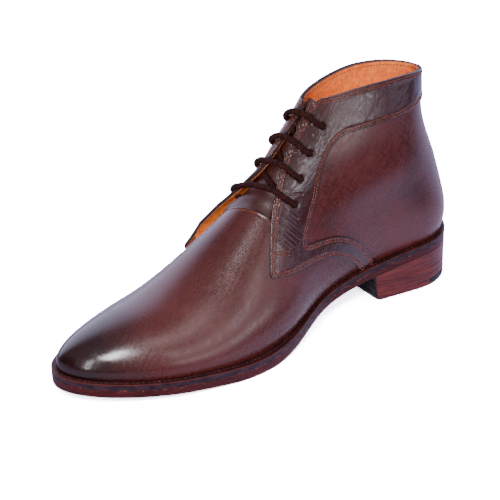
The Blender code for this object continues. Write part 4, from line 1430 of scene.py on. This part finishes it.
# %% Node helpers
class Recipe:
    """A material under construction: small methods add nodes and give back their output sockets."""

    def __init__(self, name):
        self.material = bpy.data.materials.new(name)
        self.material.use_nodes = True
        self.tree = self.material.node_tree
        self.shader = self.tree.nodes["Principled BSDF"]
        self.place = self.node("ShaderNodeTexCoord", "Object")

    def put(self, socket, value):
        """Links an output to a socket, or sets a plain value there."""
        if isinstance(value, bpy.types.NodeSocket):
            self.tree.links.new(value, socket)
        elif isinstance(value, tuple) and len(value) == 3 and socket.type == "RGBA":
            socket.default_value = (*value, 1.0)
        else:
            socket.default_value = value

    def node(self, kind, output=0, settings=(), **inputs):
        """A new node's output. Its inputs go by name, or by number as _0 and _1."""
        made = self.tree.nodes.new(kind)
        for key, value in settings:
            setattr(made, key, value)
        for key, value in inputs.items():
            self.put(made.inputs[int(key[1:]) if key[0] == "_" else key.replace("_", " ")], value)
        return made.outputs[output]

    def attribute(self, label):
        return self.node("ShaderNodeAttribute", "Fac", (("attribute_name", label),))

    def axis(self, letter):
        return self.node("ShaderNodeSeparateXYZ", letter, _0=self.place)

    def math(self, operation, a, b):
        return self.node("ShaderNodeMath", 0, (("operation", operation),), _0=a, _1=b)

    def plus(self, a, b):
        return self.math("ADD", a, b)

    def minus(self, a, b):
        return self.math("SUBTRACT", a, b)

    def times(self, a, b):
        return self.math("MULTIPLY", a, b)

    def stretched(self, turn, scale):
        """Coordinates drawn out along turned axes, so that a noise becomes streaks."""
        return self.node("ShaderNodeMapping", 0, (("vector_type", "TEXTURE"),), Vector=self.place,
                         Rotation=turn, Scale=scale)

    def noise(self, scale, detail=3.0, rough=0.5, vector=None):
        return self.node("ShaderNodeTexNoise", "Fac", (), Vector=self.place if vector is None else vector,
                         Scale=scale, Detail=detail, Roughness=rough)

    def cells(self, scale):
        return self.node("ShaderNodeTexVoronoi", "Distance", (), Vector=self.place, Scale=scale)

    def ramp(self, value, low, high, start=0.0, end=1.0):
        return self.node("ShaderNodeMapRange", 0, (("interpolation_type", "SMOOTHSTEP"),), Value=value,
                         From_Min=low, From_Max=high, To_Min=start, To_Max=end)

    def mix(self, factor, a, b):
        return self.node("ShaderNodeMix", "Result", (("data_type", "RGBA"),), Factor=factor, A=a, B=b)

    def bump(self, height, strength, distance, **under):
        """A bump of this height in millimetres. Normal= lays it over another bump."""
        return self.node("ShaderNodeBump", "Normal", (), Strength=strength, Distance=distance * MM,
                         Height=height, **under)

    def finish(self, colour, roughness, normal, **plain):
        sockets = {"Base_Color": colour, "Roughness": roughness, "Normal": normal, **plain}
        for label, value in sockets.items():
            self.put(self.shader.inputs[label.replace("_", " ")], value)
        return self.material


print("recipes ready")

# %% [markdown]
# ## Burnished leather
# The hide is dyed, then waxed and brushed: the toe and the edges are taken nearly black, the flats keep
# more red, and brushing leaves very fine streaks that cross. A painted texture would need an unwrapped
# surface, but noises on the boot's own coordinates run on from piece to piece. All leather of the upper
# shares one recipe, and each panel has its own depth of colour and shine.

# %% Leather recipe
OBJECT_FRONT = (LAST_LENGTH - HEEL_MIDDLE) * MM
TOE_DYE = (0.012, 0.003, 0.0035)


def brown_leather(name, dark, middle, light, rough=0.31, toe=0.0, coat=0.12, patches=(), crumple=0.0):
    r = Recipe(name)
    blotches, cloud = r.noise(18.0, 2.0), r.noise(70.0, 3.0, 0.6)
    streaks = r.times(*(r.noise(560.0, 2.0, 0.6, r.stretched(turn, (1.0, 1.0, 7.0)))
                        for turn in ((0.15, 0.80, 0.3), (-0.1, -0.75, 0.2))))
    level = r.plus(r.times(blotches, 0.7), r.times(cloud, 0.3))
    level = r.plus(level, r.ramp(streaks, 0.1, 0.45, -0.06, 0.06))
    low = r.mix(r.ramp(level, 0.25, 0.5, 0.45, 1.0), dark, middle)
    colour = r.mix(r.ramp(level, 0.5, 0.85), low, light)
    for spot, radius, strength in patches:
        away = r.node("ShaderNodeVectorMath", "Value", (("operation", "DISTANCE"),), _0=r.place, _1=spot)
        rim = r.plus(away, r.times(cloud, 0.5 * radius))
        colour = r.mix(r.ramp(rim, 0.4 * radius, 1.5 * radius, strength, 0.0), colour, dark)
    worn = r.ramp(r.plus(r.attribute("edge"), r.times(cloud, 1.2)), 0.55, 1.5, 0.75, 0.0)
    colour = r.mix(worn, colour, dark)
    roughness = r.plus(r.ramp(level, 0.35, 0.7, rough - 0.04, rough + 0.05),
                       r.ramp(streaks, 0.1, 0.45, -0.04, 0.06))
    if toe:
        wavy_front = r.plus(r.axis("X"), r.times(cloud, 0.030))
        inward = r.minus(wavy_front, r.times(r.axis("Y"), 0.8))
        tip = r.ramp(inward, OBJECT_FRONT - 0.062, OBJECT_FRONT - 0.006, 0.0, toe)
        colour = r.mix(tip, colour, TOE_DYE)
        polish = r.ramp(wavy_front, OBJECT_FRONT - 0.026, OBJECT_FRONT - 0.004, 0.0, 0.12)
        roughness = r.minus(roughness, polish)
    grain = r.plus(r.times(streaks, 0.9), r.times(r.noise(1100.0, 1.0), 0.15))
    normal = r.bump(r.plus(grain, r.times(r.cells(900.0), 0.10)), 0.26, 0.10)
    if crumple:
        wavy = r.noise(170.0, 2.0, 0.6, r.stretched((0.0, -0.8, 0.3), (1.0, 1.0, 2.0)))
        normal = r.bump(wavy, 0.8, crumple, Normal=normal)
    return r.finish(colour, roughness, normal, Coat_Weight=coat, Coat_Roughness=0.28, Specular_IOR_Level=0.5)


WINE_DARK, WINE, WINE_LIGHT = (0.017, 0.0037, 0.003), (0.068, 0.011, 0.0085), (0.112, 0.021, 0.016)
VAMP_PATCHES = (((0.095, 0.0, 0.085), 0.03, 0.5),)         # darker spots: place, radius, strength
QUARTER_PATCHES = (((0.016, 0.038, 0.084), 0.014, 0.4), ((0.060, 0.040, 0.085), 0.016, 0.35))
vamp_leather = brown_leather("vamp_leather", WINE_DARK, WINE, WINE_LIGHT, toe=0.95, patches=VAMP_PATCHES)
quarter_leather = brown_leather("quarter_leather", WINE_DARK, (0.086, 0.0135, 0.010), (0.130, 0.023, 0.018),
                                patches=QUARTER_PATCHES)
facing_leather = brown_leather("facing_leather", (0.010, 0.0025, 0.0025), (0.038, 0.0065, 0.005),
                               (0.075, 0.015, 0.012), rough=0.25, coat=0.38, crumple=0.6)
tongue_brown = brown_leather("tongue_brown", (0.012, 0.0025, 0.002), (0.060, 0.011, 0.008),
                             (0.085, 0.017, 0.013), rough=0.50, coat=0.0)
print("brown leathers:", len(bpy.data.materials))

# %% [markdown]
# ## Lining, raw edges, thread and lace
# The smaller materials need less. The lining is a lighter vegetable-tanned leather with a pebbled face and
# faint creases, darker in its pits and troughs as painted shade. A cut edge shows fibres. Thread, lace and
# rubber are a fine noise between two near colours, because a single flat colour looks like plastic.

# %% Lining, edges, thread and lace
def raw_edge(name, dark, light):
    r = Recipe(name)
    fibres = r.noise(900.0, 3.0)
    colour = r.mix(r.ramp(fibres, 0.3, 0.7), dark, light)
    return r.finish(colour, 0.7, r.bump(fibres, 0.4, 0.15))


def tan_lining(name, dark, light):
    r = Recipe(name)
    pebble = r.cells(360.0)
    creases = r.noise(170.0, 3.0, 0.6, r.stretched((0.0, 0.5, 0.2), (1.0, 1.0, 2.2)))
    # The slow noise is the leather's own uneven tone; the pebble's share darkens its pits as painted shade.
    level = r.plus(r.times(r.noise(30.0), 0.5), r.times(pebble, 0.5))
    colour = r.mix(r.ramp(level, 0.2, 0.75), dark, light)
    # Painted shade: the troughs of the creases are darkened.
    colour = r.mix(r.ramp(creases, 0.52, 0.34, 0.0, 0.45), colour, dark)
    relief = r.plus(r.times(pebble, 0.5), creases)
    return r.finish(colour, 0.5, r.bump(relief, 0.9, 0.6), Specular_IOR_Level=0.35)


edge_tan = raw_edge("raw_edge", (0.20, 0.045, 0.015), (0.50, 0.16, 0.050))
dark_edge = raw_edge("dark_edge", (0.010, 0.003, 0.003), (0.040, 0.012, 0.010))
lining_tan = tan_lining("lining_tan", (0.80, 0.13, 0.014), (1.0, 0.30, 0.050))
footbed_tan = tan_lining("footbed_tan", (0.55, 0.15, 0.035), (0.80, 0.27, 0.08))


def simple(name, dark, light, scale, rough, specular=0.5):
    """Two near colours mixed by a noise of this scale."""
    r = Recipe(name)
    colour = r.mix(r.ramp(r.noise(scale), 0.3, 0.7), dark, light)
    return r.finish(colour, rough, r.bump(r.noise(900.0, 2.0), 0.3, 0.12), Specular_IOR_Level=specular)


lace_brown = simple("lace_brown", (0.009, 0.0019, 0.0015), (0.042, 0.009, 0.006), 700.0, 0.75, 0.12)
thread = simple("thread", (0.11, 0.024, 0.016), (0.27, 0.080, 0.050), 450.0, 0.5, 0.2)
welt_thread = simple("welt_thread", (0.045, 0.010, 0.007), (0.14, 0.038, 0.024), 450.0, 0.5, 0.2)
dark_thread = simple("dark_thread", (0.05, 0.02, 0.018), (0.10, 0.045, 0.035), 500.0, 0.5)
black_rubber = simple("black_rubber", (0.005, 0.0045, 0.005), (0.014, 0.012, 0.014), 120.0, 0.6, 0.15)
print("materials so far:", len(bpy.data.materials))

# %% [markdown]
# ## Edge dressing
# The sole's edge is sanded, painted with a dark wax down to about four millimetres, and left redder below.
# The brush never stops in a straight line, so the boundary is jagged, and the rims are rubbed back to a
# thin line of raw orange. The welt's top ledge and the faces further in, the sole's underside among them,
# are near black: painted shade for the ledge lying in the shadow of the upper's belly.

# %% Sole and heel finishes
def sole_edge(name):
    r = Recipe(name)
    depth, inset = r.attribute("depth"), r.attribute("inset")
    fine = r.noise(420.0, 3.0, 0.6, r.stretched((0, 0, 0), (2.8, 2.8, 1.0)))
    lines = r.noise(900.0, 3.0, 0.6, r.stretched((0, 0, 0), (16.0, 16.0, 0.6)))
    ragged = r.plus(depth, r.ramp(fine, 0.2, 0.8, -1.1, 1.1))
    below = r.mix(r.ramp(lines, 0.3, 0.7), (0.032, 0.004, 0.005), (0.085, 0.012, 0.013))
    paint = r.mix(r.ramp(fine, 0.3, 0.7), (0.015, 0.006, 0.010), (0.044, 0.020, 0.031))
    colour = r.mix(r.ramp(ragged, 4.4, 5.0), paint, below)
    speck = r.times(r.ramp(ragged, 4.3, 4.7), r.ramp(ragged, 5.3, 4.8))
    speck = r.times(speck, r.ramp(r.noise(650.0, 2.0), 0.52, 0.62))
    colour = r.mix(speck, colour, (0.30, 0.075, 0.03))
    # Painted shade: the welt's ledge under the upper's belly and everything further in are mixed to near
    # black.
    ledge = r.mix(r.ramp(fine, 0.3, 0.7), (0.012, 0.003, 0.004), (0.040, 0.009, 0.010))
    colour = r.mix(r.ramp(inset, 0.25, 0.7), colour, ledge)
    rim = r.times(r.ramp(depth, 1.0, 0.5), r.ramp(inset, 0.75, 0.3))
    colour = r.mix(r.times(rim, r.ramp(fine, 0.2, 0.5)), colour, (0.11, 0.022, 0.015))
    rough = r.minus(r.ramp(lines, 0.3, 0.7, 0.38, 0.50), r.times(rim, 0.22))
    return r.finish(colour, rough, r.bump(lines, 0.35, 0.16), Specular_IOR_Level=0.2)


HEEL_BREAST = (BREAST_X - BREAST_LEAN - HEEL_MIDDLE) * MM    # its x at the floor
DYED_CORNER = -0.0052    # the lowest layer is dyed black behind this x


def heel_edge(name):
    r = Recipe(name)
    x, z = r.axis("X"), r.axis("Z")
    lines = r.noise(700.0, 4.0, 0.6, r.stretched((0, 0, 0), (14.0, 14.0, 0.45)))
    colour = r.mix(r.ramp(lines, 0.30, 0.72), (0.058, 0.008, 0.010), (0.195, 0.035, 0.029))
    colour = r.mix(r.ramp(r.noise(60.0), 0.45, 0.75, 0.0, 0.5), colour, (0.040, 0.008, 0.013))
    forward = r.minus(x, r.times(z, BREAST_LEAN / HEEL_TOP))
    breast = r.ramp(forward, HEEL_BREAST - 0.0009, HEEL_BREAST - 0.0002)
    colour = r.mix(breast, colour, (0.006, 0.003, 0.004))
    low = r.ramp(z, (TOP_PIECE + 0.2) * MM, (TOP_PIECE - 0.2) * MM)
    corner_dye = r.times(low, r.ramp(x, DYED_CORNER, DYED_CORNER - 0.0008))
    colour = r.mix(corner_dye, colour, (0.006, 0.005, 0.006))
    rim = r.ramp(z, 0.0011, 0.0003)
    colour = r.mix(r.times(rim, 0.8), colour, (0.26, 0.05, 0.04))
    return r.finish(colour, r.ramp(lines, 0.3, 0.7, 0.32, 0.46), r.bump(lines, 0.25, 0.12),
                    Specular_IOR_Level=0.3)


edge_finish = sole_edge("sole_edge")
heel_finish = heel_edge("heel_edge")
print("materials:", len(bpy.data.materials))

# %% [markdown]
# ## Dressing the pieces
# Each piece gets its finish, hides the imported node it stands in for, and rides with the body. A piece
# that stands in for a node takes its place, so no two surfaces ever lie in each other.

# %% Put it together
def dress(piece, slot, *materials, replaces=()):
    for material in materials:
        piece.data.materials.append(material)
    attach(piece, "root")
    if replaces:
        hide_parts(*replaces)


LEATHERS = {"facing": facing_leather, "quarter": quarter_leather, "vamp": vamp_leather}
for piece in leather_pieces:
    kind = piece.name.split("_")[0]
    if kind == "lining":
        dress(piece, "upper_leather", lining_tan, lining_tan, edge_tan)
    elif kind == "tongue":
        dress(piece, "tongue_leather", tongue_brown, tongue_brown, tongue_brown, replaces=("tongue",))
    else:
        dress(piece, "upper_leather", LEATHERS[kind], edge_tan, dark_edge, replaces=("upper",))
for piece in laces:
    number = piece.name.split("_")[-1]
    bar = ("lace_bar_" + number,) if "under" not in piece.name else ()
    dress(piece, "lace_cord", lace_brown, replaces=bar)
STANDS_FOR = {
    "welt_strip": ("welt_leather", edge_finish, "welt"),
    "sole_plate": ("sole_leather", edge_finish, "outsole"),
    "top_layer": ("sole_leather", heel_finish, "heel_top_piece"),
    "rubber_corner": ("rubber_tip", black_rubber, "heel_rubber_tip"),
    "lift_low": ("sole_leather", heel_finish, "heel_lift_1"),
    "lift_high": ("sole_leather", heel_finish, "heel_lift_2"),
    "wedge": ("sole_leather", heel_finish, "heel_wedge"),
    "footbed": ("lining_leather", footbed_tan, "insole")}
for piece in sole_pieces:
    slot, material, node = STANDS_FOR[piece.name]
    dress(piece, slot, material, replaces=(node,))
print("dressed pieces:", len(leather_pieces + laces + sole_pieces))

# %% [markdown]
# ## Sewing it up
# Each stitch line was kept when its piece was cut. The upper is sewn with a light thread in two rows, the
# lining with a fine dark one and the welt with a thick one. A short bar of close stitches holds the foot of
# the facing, where the lace pulls hardest.

# %% Stitches
UPPER_SEAM = (thread, 1.9, 1.75, 0.95)           # thread, pitch, length and width
SEAMS = {"welt": (welt_thread, 3.2, 2.2, 0.6), "lining": (dark_thread, 2.4, 1.6, 0.7)}
TACK_ROWS = (((170.3, 30.0), (167.0, 30.9)), ((169.3, 29.2), (166.2, 30.0)))
tack = [np.array([section(*between(*ends, t), OVERLAY_LIFT + 0.25) for t in np.linspace(0, 1, 9)])
        - (HEEL_MIDDLE, 0, 0) for ends in TACK_ROWS]
dress(sew_lines("stitches_tack", tack, thread, 1.0, 1.5, 0.8, 0.5), "upper_leather")
for name, runs in sewn.items():
    made = sew_lines("stitches_" + name, runs, *SEAMS.get(name, UPPER_SEAM))
    dress(made, "welt_leather" if name == "welt" else "upper_leather")
print("pieces:", len(leather_pieces + laces + sole_pieces + stitch_pieces))

# %% [markdown]
# ## The floor
# The boot stands on a plain pale floor. A floor that is white to the eye would also throw much light up
# at the leather, so what the leather sees of it is greyer, most of all beyond the boot and at the toe.

# %% Floor
FLOOR_HALF = 4.0


def make_floor():
    mesh = bpy.data.meshes.new("floor")
    corners = [(x * FLOOR_HALF, y * FLOOR_HALF, 0) for x, y in ((-1, -1), (1, -1), (1, 1), (-1, 1))]
    mesh.from_pydata(corners, [], [(0, 1, 2, 3)])
    floor = add_object("floor", mesh)
    r = Recipe("floor_white")
    base = r.mix(r.ramp(r.axis("X"), 0.12, 0.24), (0.98, 0.94, 1.25), (0.42, 0.38, 0.48))
    base = r.mix(r.ramp(r.axis("Y"), 0.13, 0.26), base, (0.10, 0.095, 0.12))
    bright = r.mix(r.node("ShaderNodeLightPath", "Is Camera Ray"), base, (21.0, 20.6, 22.0))
    r.put(r.tree.nodes["Material Output"].inputs["Surface"], r.node("ShaderNodeBsdfDiffuse", Color=bright))
    r.tree.nodes.remove(r.shader)
    mesh.materials.append(r.material)
    return floor


print("floor", make_floor().dimensions.x, "m wide")

# %% [markdown]
# ## Lamps
# Polished leather is shown by what it mirrors, so each lamp is a soft strip with one job. The overhead strip
# draws the long highlight along the vamp, the narrow upright one puts the spark on the toe, and a small
# near one lets it glow behind that. Two from the front and the side lift the facing and the quarter, and a
# tiny one inside stands for the light that the pale lining passes round.

# %% Lamps
MIDDLE = (0.10, 0.0, 0.07)
FAINT_WARM = (1.0, 0.96, 0.98)
LAMPS = (                # name, start and end directions, width, watts, colour, distance, goal
    ("toe_glow", (0.60, 0.58, 0.55), (0.32, 0.56, 0.76), 0.060, 0.80, (1.0, 0.96, 0.99), 0.3,
     (0.215, 0.0, 0.045)),
    ("overhead", (0.16, 0.48, 0.86), (-0.28, 0.47, 0.84), 0.18, 2.3, FAINT_WARM, 1.3, MIDDLE),
    ("toe_strip", (0.872, 0.483, 0.09), (0.734, 0.407, 0.545), 0.035, 3.2, (1, 1, 1), 1.3, MIDDLE),
    ("front", (-0.05, 0.86, 0.50), (-0.04, 0.78, 0.63), 0.22, 2.2, (1.0, 0.97, 1.0), 1.6, MIDDLE),
    ("window", (0.10, 0.96, 0.22), (-0.36, 0.91, 0.19), 0.12, 3.1, (0.97, 0.96, 1.0), 1.6, MIDDLE),
    ("inside", (-0.5, 0.87, 0.0), (0.5, 0.87, 0.0), 0.03, 0.011, (1.0, 0.93, 0.86), 0.05,
     (0.025, -0.034, 0.128)))


def lamp(name, start, end, width, watts, colour, away, goal):
    """A soft strip between two directions from its goal, facing it."""
    goal = Vector(goal)
    a, b = (goal + Vector(v).normalized() * away for v in (start, end))
    middle = (a + b) / 2
    light = bpy.data.lights.new(name, "AREA")
    light.shape = "RECTANGLE"
    light.size, light.size_y = (b - a).length, width
    light.energy = watts
    light.color = colour
    back = (middle - goal).normalized()
    along = (b - a).normalized()
    along = (along - back * along.dot(back)).normalized()
    turn = Matrix((along, back.cross(along), back)).transposed().to_4x4()
    add_object(name, light).matrix_world = Matrix.Translation(middle) @ turn


for row in LAMPS:
    lamp(*row)
print("lamps:", len(LAMPS))

# %% [markdown]
# ## The room
# Behind the lamps the room is a soft grey with five broad patches, each a direction with two angles between
# which it fades in. Bright ones at the heel and the inner side give the back of the boot a rim, and a dark
# one in front keeps the toe deep.

# %% Room
ROOM_GREY = (0.20, 0.19, 0.23)
ROOM_PATCHES = (         # direction, cosines where the patch begins and is full, colour
    ((0.35, 0.55, 0.75), 0.2, 0.95, (0.46, 0.44, 0.50)),
    ((-0.42, 0.90, 0.05), 0.75, 0.97, (0.42, 0.39, 0.58)),
    ((-0.95, 0.25, 0.0), 0.6, 0.95, (1.1, 1.05, 1.5)),
    ((-0.3, -1.0, 0.25), 0.5, 0.92, (2.5, 2.4, 3.3)),
    ((0.99, -0.10, 0.10), 0.70, 0.93, (0.05, 0.04, 0.05)))


def make_world():
    world = bpy.data.worlds.new("studio")
    world.use_nodes = True
    bpy.context.scene.world = world
    tree = world.node_tree
    background = tree.nodes["Background"]
    direction = tree.nodes.new("ShaderNodeTexCoord").outputs["Generated"]
    colour = tree.nodes.new("ShaderNodeRGB").outputs[0]
    colour.default_value = (*ROOM_GREY, 1.0)
    for way, begins, full, patch in ROOM_PATCHES:
        dot = tree.nodes.new("ShaderNodeVectorMath")
        dot.operation = "DOT_PRODUCT"
        tree.links.new(direction, dot.inputs[0])
        dot.inputs[1].default_value = Vector(way).normalized()
        ramp = tree.nodes.new("ShaderNodeMapRange")
        ramp.interpolation_type = "SMOOTHSTEP"
        ramp.inputs["From Min"].default_value = begins
        ramp.inputs["From Max"].default_value = full
        tree.links.new(dot.outputs["Value"], ramp.inputs["Value"])
        mix = tree.nodes.new("ShaderNodeMix")
        mix.data_type = "RGBA"
        tree.links.new(ramp.outputs[0], mix.inputs["Factor"])
        tree.links.new(colour, mix.inputs["A"])
        mix.inputs["B"].default_value = (*patch, 1.0)
        colour = mix.outputs["Result"]
    tree.links.new(colour, background.inputs["Color"])


make_world()
print("room patches:", len(ROOM_PATCHES))
